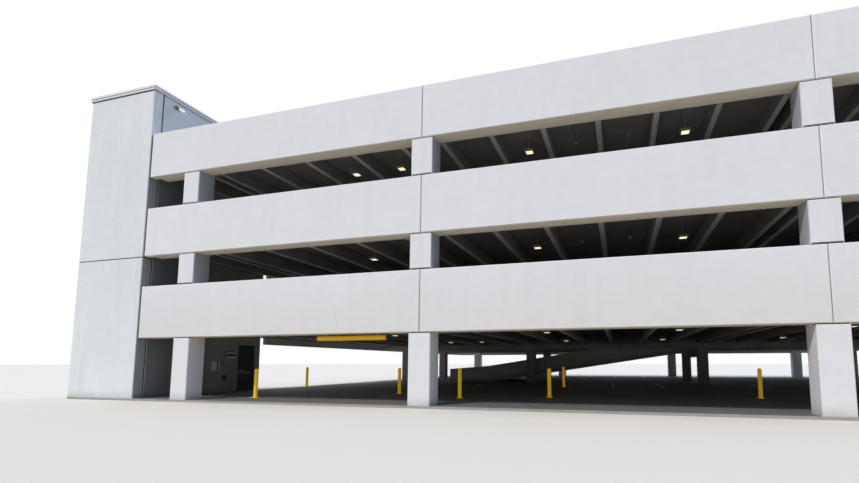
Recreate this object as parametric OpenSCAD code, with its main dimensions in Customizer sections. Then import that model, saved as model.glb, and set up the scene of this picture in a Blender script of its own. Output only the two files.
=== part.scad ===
/* [Frame grid] */
// Distance between the front columns of a full bay
bay = 11000; // [10000:100:12000]
// Distance from the centre column to the first column on the left
left_bay = 9490; // [9300:10:9700]
// Length of the front panels beyond the outermost columns
end_overhang = 2080; // [1900:10:2300]
// Distance from the front column line to the first middle girder line
front_span = 18000; // [15000:100:19000]
// Distance between the two middle girder lines, with the ramp between them
ramp_bay = 7200; // [6800:50:7600]
// Distance from the second middle girder line to the rear column line
rear_span = 10440; // [9000:20:11000]

/* [Storeys] */
// Height of the lowest panels' underside above the ground
clear_h = 2340; // [2200:10:2600]
// Height from one storey to the next
storey = 3150; // [3000:10:3400]
// Height of the panels at level 2
panel_h_2 = 1970; // [1700:10:2100]
// Height of the panels at level 3
panel_h_3 = 1890; // [1700:10:2100]
// Height of the panels round the roof deck
panel_h_roof = 1780; // [1600:10:2100]

/* [Panels and columns] */
// Thickness of a panel's wall
panel_t = 240; // [200:10:280]
// Width of the ledge along the foot of a panel
ledge_w = 300; // [240:10:360]
// Height of the ledges that carry the floor units
ledge_h = 300; // [240:10:360]
// Width of the front and rear columns
col_w = 735; // [600:5:760]
// Depth of the front and rear columns
col_d = 680; // [620:10:760]
// Distance of a column's face behind the panels' face
col_inset = 20; // [5:5:40]
// Shadow gap between a column and the panels above and below it
col_gap = 30; // [15:5:50]
// Width of the joints between panels
panel_joint = 20; // [10:5:30]
// Width of the chamfer along the outer edges of panels and columns
edge_cut = 20; // [10:1:25]
// Side of the square middle columns
mid_col = 600; // [500:10:640]
// Width of a girder's web
girder_t = 350; // [300:10:400]
// Width of a girder's ledges
girder_ledge = 250; // [220:10:280]

/* [Floor units] */
// Full depth of a double tee floor unit
tee_h = 600; // [500:10:700]
// Thickness of a floor unit's top slab
flange_t = 90; // [70:5:120]
// Width of a stem where it meets the slab
stem_top_w = 220; // [180:5:230]
// Width of a stem at its foot
stem_foot_w = 170; // [120:5:180]
// Distance from a column line to the stems on both sides of it
stem_off = 265; // [200:5:265]
// Distance from the centre column line to the first stem of the left bay
left_stem = 1210; // [1100:10:1600]
// Distance from a side panel to the stem beside it
edge_stem = 300; // [200:10:400]
// Gap between a floor unit and its neighbours
tee_joint = 20; // [10:5:30]
// Thickness of the ground floor slab
slab_t = 80; // [60:5:120]

/* [Ramp] */
// Thickness of a ramp flight
ramp_t = 250; // [200:10:300]
// Length of the gentle stretch at each end of a flight
ramp_ease = 3000; // [2500:100:3600]
// Height of the walls along the ramp and its well
ramp_wall_h = 900; // [800:10:1100]
// Thickness of the walls along the ramp and its well
ramp_wall_t = 150; // [120:10:200]
// Width of the beams that carry the ends of the flights
header_w = 400; // [300:10:500]

/* [Tower] */
// Width of the stair tower
tower_w = 3430; // [3200:10:3600]
// Depth of the stair tower
tower_d = 6100; // [5900:10:6400]
// Height of the tower's walls above the top doorway
tower_head = 560; // [450:10:900]
// Thickness of the tower's walls
tower_t = 200; // [160:10:240]
// Length of the front wall's returns round the corners
tower_return = 350; // [300:10:500]
// Width of the upright joints behind the front wall's returns
tower_joint = 60; // [20:5:80]
// Width of the groove across the front wall
tower_groove = 40; // [20:5:60]
// Gap between the tower and the parking decks
tower_gap = 80; // [50:5:100]
// Height of the metal cap on the tower's walls
cap_h = 190; // [160:10:280]
// Distance that the cap stands out from the wall
cap_out = 40; // [20:5:60]
// Thickness of the tower's landings and roof
landing_t = 200; // [150:10:220]

/* [Tower doors] */
// Width of a doorway in the tower's side wall
door_gap_w = 990; // [950:5:1050]
// Height of a doorway above its floor
door_gap_h = 2200; // [2100:10:2250]
// Width of a door frame's sides and head
frame_w = 55; // [40:5:70]
// Depth of a door frame through the wall
frame_d = 130; // [110:5:150]
// Thickness of a door
door_t = 45; // [40:1:50]
// Distance from the doorway to the tower's rear face
door_back = 340; // [300:10:500]

/* [Clearance bar] */
// Length of the clearance bar
bar_l = 2670; // [2400:10:2800]
// Radius of the clearance bar
bar_r = 80; // [60:1:85]
// Distance from the centre column to the clearance bar's right end
bar_x = 1200; // [1000:10:1600]
// Distance from the bar's centre to the pins that it swings on
bar_drop = 107; // [102:1:115]

/* [Bollards] */
// Height of a bollard above the floor
bollard_h = 1100; // [900:10:1200]
// Radius of a bollard
bollard_r = 70; // [50:1:90]

/* [Hidden] */

// The origin is on the ground where the centre column's line crosses the front row's line.
face_y = -col_d / 2 - col_inset;
panel_in_y = face_y + panel_t;
ledge_y = panel_in_y + ledge_w;
line_b = front_span;
line_c = front_span + ramp_bay;
line_d = line_c + rear_span;
rear_face_y = line_d - face_y;
rear_in_y = line_d - panel_in_y;

left_x = -left_bay - end_overhang;
right_x = 2 * bay + end_overhang;
left_in_x = left_x + panel_t;
right_in_x = right_x - panel_t;
column_xs = [-left_bay, 0, bay, 2 * bay];
fit = 10;

levels = [0, 1, 2];
panel_hs = [panel_h_2, panel_h_3, panel_h_roof];
seat_h = ledge_h + tee_h;
function panel_z(i) = clear_h + storey * i;
function floor_z(i) = panel_z(i) + seat_h;
function under_floor(i) = i == 0 ? slab_t : floor_z(i - 1);

// The stems from left to right: five to the left bay, seven to a full bay, and those beyond the columns.
function even(x0, x1, n) = [for (k = [0:n - 1]) x0 + (x1 - x0) * k / (n - 1)];
stem_xs = concat(
  [left_in_x + edge_stem, -left_bay - stem_off], even(-left_bay + stem_off, -left_stem, 5),
  even(stem_off, bay - stem_off, 7), even(bay + stem_off, 2 * bay - stem_off, 7), [right_in_x - edge_stem]
);
function between_stems(k) = (stem_xs[k] + stem_xs[k + 1]) / 2;

// Each floor unit has two stems, and meets the next unit midway between stems.
tee_n = len(stem_xs) / 2;
function tee_edge(i) =
  i == 0 ? left_x : i == tee_n ? right_in_x - tee_joint / 2 : between_stems(2 * i - 1);
function tee_stems(i) = [stem_xs[2 * i], stem_xs[2 * i + 1]];

ramp_x0 = tee_edge(2);
ramp_x1 = tee_edge(tee_n - 2);
ramp_y0 = line_b + girder_t / 2 + girder_ledge + fit;
ramp_y1 = line_c - girder_t / 2 - girder_ledge - fit;

tower_x1 = left_x - tower_gap;
tower_x0 = tower_x1 - tower_w;
tower_y1 = face_y + tower_d;
door_y1 = tower_y1 - door_back;
door_y0 = door_y1 - door_gap_w;
side_y0 = face_y + tower_return + tower_joint;
door_floors = [for (i = [0:3]) i == 0 ? slab_t : floor_z(i - 1)];
top_door_head = door_floors[3] + door_gap_h;
tower_wall_top = top_door_head + tower_head;

concrete = [0.84, 0.84, 0.85];
raw_concrete = [0.66, 0.65, 0.62];
floor_concrete = [0.36, 0.36, 0.36];
yellow = [0.86, 0.62, 0.10];
dark_blue = [0.10, 0.12, 0.17];
grey_metal = [0.55, 0.57, 0.60];
white = [0.93, 0.93, 0.92];

// A block between two corners.
module block(x0, x1, y0, y1, z0, z1) {
  translate([x0, y0, z0]) cube([x1 - x0, y1 - y0, z1 - z0]);
}

// An outline in Y and Z, drawn out along X.
module along_x(x0, x1, outline) {
  translate([x0, 0, 0]) rotate([90, 0, 90]) linear_extrude(x1 - x0) polygon(outline);
}

// An outline in X and Z, drawn out along Y.
module along_y(y0, y1, outline) {
  translate([0, y1, 0]) rotate([90, 0, 0]) linear_extrude(y1 - y0) polygon(outline);
}

// An upright post with chamfered corners, centred on the origin.
module post(w, d, h) {
  x = w / 2;
  y = d / 2;
  e = edge_cut;
  linear_extrude(h) polygon([
    [-x + e, -y], [x - e, -y], [x, -y + e], [x, y - e], [x - e, y], [-x + e, y], [-x, y - e], [-x, -y + e]
  ]);
}

// A panel with its outer edges chamfered: its foot on the origin, its face towards -Y.
module panel(l, h) {
  e = edge_cut;
  intersection() {
    along_x(0, l, [[e, 0], [panel_t, 0], [panel_t, h], [e, h], [0, h - e], [0, e]]);
    linear_extrude(h) polygon([[0, e], [e, 0], [l - e, 0], [l, e], [l, panel_t], [0, panel_t]]);
  }
}

// What stands at the front, mirrored to the rear face.
module to_rear() {
  translate([0, line_d, 0]) mirror([0, 1, 0]) children();
}

module ground_slab() {
  color(floor_concrete) {
    block(left_x, right_x, face_y, rear_face_y, 0, slab_t);
    block(tower_x1, left_x, face_y, tower_y1, 0, slab_t);
  }
}

// A column with a pocket in its face for each row of panels, which stand on pads in the shadow gap.
// Corbels on its inner side carry the stems that stand behind it.
module pocket_column(x) {
  pad_in = 60;
  corbel_w = 2 * stem_off + stem_foot_w;
  corbel_out = 220;
  face = -col_d / 2;
  back = col_d / 2;
  pockets = [for (i = levels) each [
    [face, panel_z(i) - col_gap],
    [panel_in_y, panel_z(i) - col_gap],
    if (i < 2) [panel_in_y, panel_z(i) + panel_hs[i] + col_gap],
    if (i < 2) [face, panel_z(i) + panel_hs[i] + col_gap]
  ]];
  outline = concat([[face, slab_t]], pockets, [[panel_in_y, floor_z(2)], [back, floor_z(2)], [back, slab_t]]);
  intersection() {
    along_x(x - col_w / 2, x + col_w / 2, outline);
    translate([x, 0, 0]) post(col_w, col_d, floor_z(2));
  }
  for (i = levels) {
    block(x - col_w / 3, x + col_w / 3, face + pad_in, panel_in_y, panel_z(i) - col_gap, panel_z(i));
    along_x(x - corbel_w / 2, x + corbel_w / 2, [
      [back - 1, panel_z(i)], [back, panel_z(i)], [back + corbel_out, panel_z(i) + ledge_h / 2],
      [back + corbel_out, panel_z(i) + ledge_h], [back - 1, panel_z(i) + ledge_h]
    ]);
  }
}

module front_columns() {
  color(concrete) for (x = column_xs) pocket_column(x);
}

module rear_columns() {
  color(concrete) to_rear() for (x = column_xs) pocket_column(x);
}

module middle_columns() {
  color(raw_concrete) for (x = column_xs, y = [line_b, line_c], i = levels) {
    translate([x, y, under_floor(i)]) post(mid_col, mid_col, panel_z(i) - under_floor(i));
  }
}

// A wall panel with the ledge that carries the floor, cut round the columns.
module ledge_panel(x0, x1, i) {
  z = panel_z(i);
  difference() {
    union() {
      translate([x0, face_y, z]) panel(x1 - x0, panel_hs[i]);
      block(max(x0, left_in_x), min(x1, right_in_x - fit), panel_in_y - 1, ledge_y, z, z + ledge_h);
    }
    for (x = column_xs) {
      block(x - col_w / 2 - fit, x + col_w / 2 + fit, panel_in_y, ledge_y + 1, z - 1, z + ledge_h + 1);
    }
  }
}

module panel_row(i) {
  ends = [left_x, 0, bay, right_x];
  gap = panel_joint / 2;
  for (p = [0:2]) {
    ledge_panel(ends[p] + (p > 0 ? gap : 0), ends[p + 1] - (p < 2 ? gap : 0), i);
  }
}

module front_panels_level_2() {
  color(concrete) panel_row(0);
}

module front_panels_level_3() {
  color(concrete) panel_row(1);
}

module front_panels_roof() {
  color(concrete) panel_row(2);
}

module rear_panels() {
  color(concrete) to_rear() for (i = levels) panel_row(i);
}

// The lengths of the panels along one side, with joints on the girder lines.
function side_ends(first_y) = [
  [first_y, line_b - panel_joint / 2], [line_b + panel_joint / 2, line_c - panel_joint / 2],
  [line_c + panel_joint / 2, rear_in_y]
];

module left_side_panels() {
  color(concrete) for (i = levels, y = side_ends(tower_y1 + tower_gap)) {
    translate([left_x, y[1], panel_z(i)]) rotate([0, 0, -90]) panel(y[1] - y[0], panel_hs[i]);
  }
}

module right_side_panels() {
  color(concrete) for (i = levels, y = side_ends(panel_in_y)) {
    translate([right_x, y[0], panel_z(i)]) rotate([0, 0, 90]) panel(y[1] - y[0], panel_hs[i]);
  }
}

// A girder with a ledge on both sides, in three lengths that meet over the columns.
module girder_line(y, i) {
  z = panel_z(i);
  web = girder_t / 2;
  foot = web + girder_ledge;
  outline = [
    [y - foot, z], [y + foot, z], [y + foot, z + ledge_h], [y + web, z + ledge_h],
    [y + web, z + seat_h], [y - web, z + seat_h], [y - web, z + ledge_h], [y - foot, z + ledge_h]
  ];
  ends = [left_in_x, 0, bay, right_in_x];
  gap = panel_joint / 2;
  for (p = [0:2]) {
    along_x(ends[p] + (p > 0 ? gap : 0), ends[p + 1] - (p < 2 ? gap : 0), outline);
  }
}

module girders() {
  color(raw_concrete) for (y = [line_b, line_c], i = levels) girder_line(y, i);
}

// The outline of a double tee: one slab on stems that taper to their feet.
function tee_outline(i, top) = concat(
  [[tee_edge(i) + tee_joint / 2, top], [tee_edge(i + 1) - tee_joint / 2, top],
   [tee_edge(i + 1) - tee_joint / 2, top - flange_t]],
  [for (k = [1, 0]) each [
    [tee_stems(i)[k] + stem_top_w / 2, top - flange_t],
    [tee_stems(i)[k] + stem_foot_w / 2, top - tee_h],
    [tee_stems(i)[k] - stem_foot_w / 2, top - tee_h],
    [tee_stems(i)[k] - stem_top_w / 2, top - flange_t]
  ]],
  [[tee_edge(i) + tee_joint / 2, top - flange_t]]
);

// One floor unit, cut back round the side panels behind the tower.
module tee(i, y0, y1, top) {
  difference() {
    along_y(y0, y1, tee_outline(i, top));
    if (i == 0) {
      block(left_x - 1, left_in_x + fit, tower_y1, rear_in_y, top - tee_h - 1, top + 1);
    }
  }
}

// A row of floor units between the front panels and the first girder.
module front_floor(level) {
  top = floor_z(level);
  color(raw_concrete) difference() {
    for (i = [0:tee_n - 1]) tee(i, panel_in_y + tee_joint, line_b - girder_t / 2 - tee_joint, top);
    for (x = column_xs) {
      block(x - col_w / 2 - fit, x + col_w / 2 + fit, panel_in_y - 1, col_d / 2 + fit,
        top - tee_h - 1, top + 1);
    }
  }
}

module front_floor_level_2() {
  front_floor(0);
}

module front_floor_level_3() {
  front_floor(1);
}

module front_floor_roof() {
  front_floor(2);
}

module rear_floors() {
  color(raw_concrete) for (level = levels) {
    top = floor_z(level);
    difference() {
      for (i = [0:tee_n - 1]) tee(i, line_c + girder_t / 2 + tee_joint, rear_in_y - tee_joint, top);
      for (x = column_xs) {
        block(x - col_w / 2 - fit, x + col_w / 2 + fit, line_d - col_d / 2 - fit, rear_in_y + 1,
          top - tee_h - 1, top + 1);
      }
    }
  }
}

// Short floor units at both ends of the ramp bay.
module ramp_landings() {
  color(raw_concrete) for (level = levels, i = [0, 1, tee_n - 2, tee_n - 1]) {
    tee(i, line_b + girder_t / 2 + tee_joint, line_c - girder_t / 2 - tee_joint, floor_z(level));
  }
}

// Heights along a flight: a steady slope with half that slope at each end.
function ramp_pts(level) =
  let (rise = floor_z(level) - under_floor(level), run = ramp_x1 - ramp_x0,
       slope = rise / (run - ramp_ease), step = ramp_ease * slope / 2, z = under_floor(level))
  [[ramp_x0, z], [ramp_x0 + ramp_ease, z + step], [ramp_x1 - ramp_ease, z + rise - step],
   [ramp_x1, z + rise]];

// The outline of a flight, down to a parallel underside.
function flight_outline(level) =
  concat(ramp_pts(level), [for (k = [3:-1:0]) ramp_pts(level)[k] - [0, ramp_t]]);

module flight(level) {
  difference() {
    along_y(ramp_y0, ramp_y1, flight_outline(level));
    block(ramp_x0 - 1, ramp_x1 + 1, ramp_y0 - 1, ramp_y1 + 1, -storey, slab_t);
  }
}

module ramp_flights() {
  color(floor_concrete) for (level = levels) flight(level);
}

// Height of the seats under a flight, just clear of it.
seat_gap = 0.5;
function soffit_z(level, x) = lookup(x, ramp_pts(level)) - ramp_t - seat_gap;

// A beam from one girder line to the other, with its top along a flight's underside.
module flight_beam(level, x0, x1, from_line, foot) {
  along_y(line_b + from_line, line_c - from_line,
    [[x0, foot], [x1, foot], [x1, soffit_z(level, x1)], [x0, soffit_z(level, x0)]]);
}

// Beams between the middle columns, cut back over the girders' ledges.
module cross_beam(level, x) {
  x0 = x - header_w / 2;
  x1 = x + header_w / 2;
  reach = girder_t / 2 + girder_ledge + fit;
  difference() {
    flight_beam(level, x0, x1, mid_col / 2, max(soffit_z(level, x0) - header_w, slab_t));
    for (y = [line_b, line_c]) {
      block(x0 - 1, x1 + 1, y - reach, y + reach, panel_z(level) - fit, floor_z(level));
    }
  }
}

// The beams under both ends of the flights rest on the girders' ledges.
module ramp_beams() {
  color(raw_concrete) for (level = levels) {
    flight_beam(level, ramp_x1 - header_w, ramp_x1 - tee_joint, girder_t / 2, floor_z(level) - tee_h);
    if (level < 2) {
      flight_beam(level + 1, ramp_x0, ramp_x0 + header_w, girder_t / 2, floor_z(level) - tee_h);
    }
    for (x = [0, bay]) cross_beam(level, x);
  }
}

// The walls stand on the flights, in straight lengths that meet where the slope changes.
module ramp_walls() {
  gap = panel_joint / 2;
  color(concrete) for (level = levels, y = [ramp_y0, ramp_y1 - ramp_wall_t], p = [0:2]) {
    pts = ramp_pts(level);
    x0 = pts[p][0] + (p > 0 ? gap : 0);
    x1 = pts[p + 1][0] - (p < 2 ? gap : 0);
    z0 = lookup(x0, pts) + seat_gap;
    z1 = lookup(x1, pts) + seat_gap;
    along_y(y, y + ramp_wall_t, [[x0, z0], [x1, z1], [x1, z1 + ramp_wall_h], [x0, z0 + ramp_wall_h]]);
  }
}

// Walls on the girders along the well, cut round the columns, and one across its closed end on the roof.
module ramp_well_guards() {
  half = ramp_wall_t / 2;
  cut = mid_col / 2 + fit;
  color(concrete) difference() {
    for (level = levels, y = [line_b, line_c]) {
      block(ramp_x0, ramp_x1, y - half, y + half, floor_z(level), floor_z(level) + ramp_wall_h);
    }
    for (x = [0, bay]) {
      block(x - cut, x + cut, line_b - cut, line_c + cut, floor_z(0) - 1, floor_z(1) + ramp_wall_h + 1);
    }
  }
  color(concrete) block(ramp_x0 - ramp_wall_t, ramp_x0 - tee_joint / 2, line_b + mid_col, line_c - mid_col,
    floor_z(2), floor_z(2) + ramp_wall_h);
}

module tower_base() {
  color(floor_concrete) block(tower_x0, tower_x1, face_y, tower_y1, 0, slab_t);
}

// The front wall turns both corners, with a groove across it at the level 3 panels' foot.
module tower_front_wall() {
  e = edge_cut;
  in_y = face_y + tower_t;
  end_y = face_y + tower_return;
  outline = [
    [tower_x0, end_y], [tower_x0, face_y + e], [tower_x0 + e, face_y], [tower_x1 - e, face_y],
    [tower_x1, face_y + e], [tower_x1, end_y], [tower_x1 - tower_t, end_y], [tower_x1 - tower_t, in_y],
    [tower_x0 + tower_t, in_y], [tower_x0 + tower_t, end_y]
  ];
  color(concrete) difference() {
    translate([0, 0, slab_t]) linear_extrude(tower_wall_top - slab_t) polygon(outline);
    translate([0, 0, panel_z(1) - tower_groove]) linear_extrude(tower_groove) difference() {
      translate([tower_x0 - 1, face_y - 1]) square([tower_w + 2, tower_return + 2]);
      translate([tower_x0 + tower_groove, face_y + tower_groove]) {
        square([tower_w - 2 * tower_groove, tower_return]);
      }
    }
  }
}

module tower_left_wall() {
  color(concrete) block(tower_x0, tower_x0 + tower_t, side_y0, tower_y1 - tower_t, slab_t, tower_wall_top);
}

module tower_back_wall() {
  color(concrete) block(tower_x0, tower_x1, tower_y1 - tower_t, tower_y1, slab_t, tower_wall_top);
}

module tower_side_wall_front() {
  color(concrete) block(tower_x1 - tower_t, tower_x1, side_y0, door_y0, slab_t, tower_wall_top);
}

module tower_side_wall_rear() {
  color(concrete) block(tower_x1 - tower_t, tower_x1, door_y1, tower_y1 - tower_t, slab_t, tower_wall_top);
}

module tower_side_wall_lintels() {
  color(concrete) for (n = [0:3]) {
    top = n < 3 ? door_floors[n + 1] : tower_wall_top;
    block(tower_x1 - tower_t, tower_x1, door_y0, door_y1, door_floors[n] + door_gap_h, top);
  }
}

module tower_landings() {
  color(raw_concrete) for (n = [1:3]) {
    block(tower_x0 + tower_t, tower_x1 - tower_t, tower_y1 - tower_t - tower_w, tower_y1 - tower_t,
      door_floors[n] - landing_t, door_floors[n]);
  }
}

module tower_roof() {
  over_door = 60;
  z = top_door_head + over_door;
  color(raw_concrete) block(tower_x0 + tower_t, tower_x1 - tower_t, face_y + tower_t, tower_y1 - tower_t,
    z, z + landing_t);
}

// The cap's outline across the wall: two folded steps with a shadow groove between them.
function cap_outline(out) = [
  [-out, 0], [-out, cap_h * 0.38], [0, cap_h * 0.38], [0, cap_h * 0.52], [-out, cap_h * 0.52],
  [-out, cap_h], [tower_t + out, cap_h], [tower_t + out, 0]
];

module tower_cap() {
  color(grey_metal) translate([0, 0, tower_wall_top]) {
    translate([0, face_y, 0]) along_x(tower_x0 - cap_out, tower_x1 + cap_out, cap_outline(cap_out));
    translate([0, tower_y1, 0]) mirror([0, 1, 0]) {
      along_x(tower_x0 - cap_out, tower_x1 + cap_out, cap_outline(cap_out));
    }
    translate([tower_x0, 0, 0]) along_y(face_y + tower_t + cap_out + 2, tower_y1 - tower_t - cap_out - 2,
      cap_outline(cap_out));
    translate([tower_x1, 0, 0]) mirror([1, 0, 0]) {
      along_y(face_y + tower_t + cap_out + 2, tower_y1 - tower_t - cap_out - 2, cap_outline(cap_out));
    }
  }
}

door_play = 5;
leaf_y0 = door_y0 + frame_w + door_play;
leaf_y1 = door_y1 - frame_w - door_play;
leaf_h = door_gap_h - frame_w - door_play - fit;
leaf_x0 = tower_x1 - door_t;
pin_r = 5;
pin_play = 0.5;
knuckle_r = 8;
knuckle_l = 50;
hinge_plate_w = 30;
hinge_plate_t = 3;
hinge_x = tower_x1 + knuckle_r + 1;
hinge_y = leaf_y1 + door_play / 2;
hinge_zs = [250, 1020, 1790];

// A door frame with the stop that the door closes against.
module door_frame(floor) {
  x0 = tower_x1 - frame_d;
  stop = 15;
  difference() {
    block(x0, tower_x1, door_y0, door_y1, floor, floor + door_gap_h);
    block(x0 - 1, tower_x1 + 1, door_y0 + frame_w + stop, door_y1 - frame_w - stop,
      floor - 1, floor + door_gap_h - frame_w - stop);
    block(leaf_x0 - door_play, tower_x1 + 1, door_y0 + frame_w, door_y1 - frame_w,
      floor - 1, floor + door_gap_h - frame_w);
  }
}

// Half of a hinge: a plate on the frame's or the door's face, and a knuckle round the pin.
module hinge_half(side, z) {
  translate([hinge_x, hinge_y, z]) {
    translate([tower_x1 - hinge_x, side > 0 ? door_play / 2 : -hinge_plate_w, 0]) {
      cube([hinge_plate_t, hinge_plate_w - door_play / 2, knuckle_l]);
    }
    cylinder(h = knuckle_l, r = knuckle_r, $fn = 32);
  }
}

// The frame carries the lower half of each hinge, and its pin.
module hung_frame(floor) {
  door_frame(floor);
  for (z = hinge_zs) {
    hinge_half(1, floor + z);
    translate([hinge_x, hinge_y, floor + z]) cylinder(h = 2 * knuckle_l, r = pin_r, $fn = 32);
  }
}

// The door carries the upper half of each hinge, bored for the pin.
module hung_leaf(floor) {
  difference() {
    union() {
      block(leaf_x0, tower_x1, leaf_y0, leaf_y1, floor + fit, floor + fit + leaf_h);
      for (z = hinge_zs) hinge_half(-1, floor + z + knuckle_l + 1);
    }
    for (z = hinge_zs) translate([hinge_x, hinge_y, floor + z + knuckle_l]) {
      cylinder(h = knuckle_l + 2, r = pin_r + pin_play, $fn = 32);
    }
  }
}

lever_in = 70;
lever_z = 1000;

// A lever handle on a round plate, on the outer or the inner face.
module lever(side, floor) {
  neck = 50;
  grip_t = 18;
  grip_h = 20;
  translate([side > 0 ? tower_x1 : leaf_x0, leaf_y0 + lever_in, floor + lever_z]) {
    rotate([0, side * 90, 0]) cylinder(h = 10, r = 26, $fn = 32);
    rotate([0, side * 90, 0]) cylinder(h = neck, r = grip_h / 2, $fn = 32);
    translate([side > 0 ? neck - grip_t / 2 : -neck - grip_t / 2, -grip_h / 2, -grip_h / 2]) {
      cube([grip_t, 130, grip_h]);
    }
  }
}

module tower_door_frame() {
  color(dark_blue) hung_frame(slab_t);
}

module tower_door() {
  color(dark_blue) hung_leaf(slab_t);
}

module tower_door_handles() {
  color(grey_metal) for (side = [-1, 1]) lever(side, slab_t);
}

module upper_door_frames() {
  color(dark_blue) for (n = [1:3]) hung_frame(door_floors[n]);
}

module upper_doors() {
  color(dark_blue) for (n = [1:3]) hung_leaf(door_floors[n]);
}

module upper_door_handles() {
  color(grey_metal) for (n = [1:3], side = [-1, 1]) lever(side, door_floors[n]);
}

// On the wall beside the ground floor door: distance from the doorway, width, foot, height, depth.
wall_plates = [[1200, 280, 1050, 420, 60], [170, 600, 1680, 220, 90], [700, 140, 640, 210, 80]];

module tower_wall_plates() {
  color(grey_metal) for (p = wall_plates) {
    block(tower_x1, tower_x1 + p[4], door_y0 - p[0] - p[1], door_y0 - p[0], p[2], p[2] + p[3]);
  }
}

// A lamp on a short box, tipped down towards the decks.
module tower_wall_light() {
  box = [60, 120, 120];
  lamp = [220, 300, 90];
  beyond_joint = 550;
  below_cap = 250;
  color(white) translate([tower_x1, side_y0 + beyond_joint, tower_wall_top - below_cap]) {
    translate([0, -box[1] / 2, -box[2] / 2]) cube(box);
    translate([box[0], 0, 0]) rotate([0, 35, 0]) {
      translate([-lamp[2] / 4, -lamp[1] / 2, -lamp[2] / 2]) cube(lamp);
    }
  }
}

// Bollards beside the lanes, by hand: distance along the front, distance behind the front row.
bollard_at = [
  [-7500, 1200], [-10850, 8400], [-3200, 4600], [150, 2950], [3350, 4100], [2950, 12000], [10900, 5600]
];

module bollards() {
  cap = bollard_r / 2;
  color(yellow) for (p = bollard_at) translate([p[0], p[1], slab_t]) {
    cylinder(h = bollard_h - cap, r = bollard_r, $fn = 48);
    translate([0, 0, bollard_h - cap]) cylinder(h = cap, r1 = bollard_r, r2 = bollard_r / 2, $fn = 48);
  }
}

// The bar hangs under the panels on two pairs of ears.
bar_in = 270;
pin_drop = 28;
hanger_in = 380;
bar_y = face_y + bar_in;
pin_z = clear_h - pin_drop;
bar_z = pin_z - bar_drop;
hanger_xs = [-bar_x - bar_l + hanger_in, -bar_x - hanger_in];
lug_r = 14;
lug_t = 12;
bar_pin_r = 6;

// The bar is a capped tube with two lugs that turn on the bracket pins.
module clearance_bar() {
  wall = 5;
  color(yellow) difference() {
    union() {
      translate([-bar_x - bar_l, bar_y, bar_z]) rotate([0, 90, 0]) cylinder(h = bar_l, r = bar_r, $fn = 48);
      for (x = hanger_xs) {
        block(x - lug_t / 2, x + lug_t / 2, bar_y - lug_r, bar_y + lug_r, bar_z, pin_z);
        translate([x - lug_t / 2, bar_y, pin_z]) rotate([0, 90, 0]) cylinder(h = lug_t, r = lug_r, $fn = 32);
      }
    }
    translate([-bar_x - bar_l + wall, bar_y, bar_z]) rotate([0, 90, 0]) {
      cylinder(h = bar_l - 2 * wall, r = bar_r - wall, $fn = 48);
    }
    for (x = hanger_xs) {
      translate([x - lug_t, bar_y, pin_z]) rotate([0, 90, 0]) {
        cylinder(h = 2 * lug_t, r = bar_pin_r + pin_play, $fn = 32);
      }
    }
  }
}

module clearance_bar_brackets() {
  ear = 8;
  ear_gap = lug_t + 12;
  plate_t = 6;
  color(grey_metal) for (x = hanger_xs) {
    block(x - 60, x + 60, bar_y - 40, bar_y + 40, clear_h - plate_t, clear_h);
    for (s = [-1, 1]) translate([x + s * (ear_gap + ear) / 2 - ear / 2, bar_y, 0]) {
      translate([0, -lug_r, pin_z]) cube([ear, 2 * lug_r, pin_drop - plate_t / 2]);
      translate([0, 0, pin_z]) rotate([0, 90, 0]) cylinder(h = ear, r = lug_r, $fn = 32);
    }
    translate([x - ear_gap / 2 - ear, bar_y, pin_z]) rotate([0, 90, 0]) {
      cylinder(h = ear_gap + 2 * ear, r = bar_pin_r, $fn = 32);
    }
  }
}

// Square lights hang between the stems, a little to the right of the middle, in rows across the decks.
light_w = 330;
light_h = 70;
light_up = 40;
light_shift = 130;
light_slots = [4, 5, 8, 11, 15, 18];
light_in = [5800, 3800, 2300];
light_pitch = 7200;
rear_light_in = 2600;
rear_light_pitch = 5200;
function light_rows(level) = concat([for (j = [0, 1]) light_in[level] + light_pitch * j],
  [for (j = [0, 1]) line_c + rear_light_in + rear_light_pitch * j]);

module ceiling_lights() {
  rod_r = 20;
  color(white) for (level = levels, k = light_slots, y = light_rows(level)) {
    translate([between_stems(k) + light_shift, y, floor_z(level) - tee_h + light_up]) {
      translate([-light_w / 2, -light_w / 2, 0]) cube([light_w, light_w, light_h]);
      cylinder(h = tee_h - light_up - flange_t, r = rod_r, $fn = 16);
    }
  }
}

// Round detector heads hang on thin rods near the middle of each full bay.
head_r = 75;
head_slots = [9, 10, 16, 17];

module ceiling_heads() {
  rod_r = 12;
  rod_l = 330;
  color(white) for (level = levels, k = head_slots, j = [0, 1]) {
    y = light_in[level] + light_pitch * j;
    translate([between_stems(k) + light_shift / 2, y, floor_z(level) - flange_t]) {
      translate([0, 0, -rod_l]) cylinder(h = rod_l, r = rod_r, $fn = 16);
      intersection() {
        translate([0, 0, -rod_l]) sphere(r = head_r, $fn = 32);
        translate([0, 0, -rod_l - 2 * head_r]) cylinder(h = 2 * head_r + 15, r = head_r, $fn = 32);
      }
    }
  }
}

ground_slab();
front_columns();
rear_columns();
middle_columns();
front_panels_level_2();
front_panels_level_3();
front_panels_roof();
rear_panels();
left_side_panels();
right_side_panels();
girders();
front_floor_level_2();
front_floor_level_3();
front_floor_roof();
rear_floors();
ramp_landings();
ramp_flights();
ramp_beams();
ramp_walls();
ramp_well_guards();
tower_base();
tower_front_wall();
tower_left_wall();
tower_back_wall();
tower_side_wall_front();
tower_side_wall_rear();
tower_side_wall_lintels();
tower_landings();
tower_roof();
tower_cap();
tower_door_frame();
tower_door();
tower_door_handles();
upper_door_frames();
upper_doors();
upper_door_handles();
tower_wall_plates();
tower_wall_light();
bollards();
clearance_bar();
clearance_bar_brackets();
ceiling_lights();
ceiling_heads();
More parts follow.
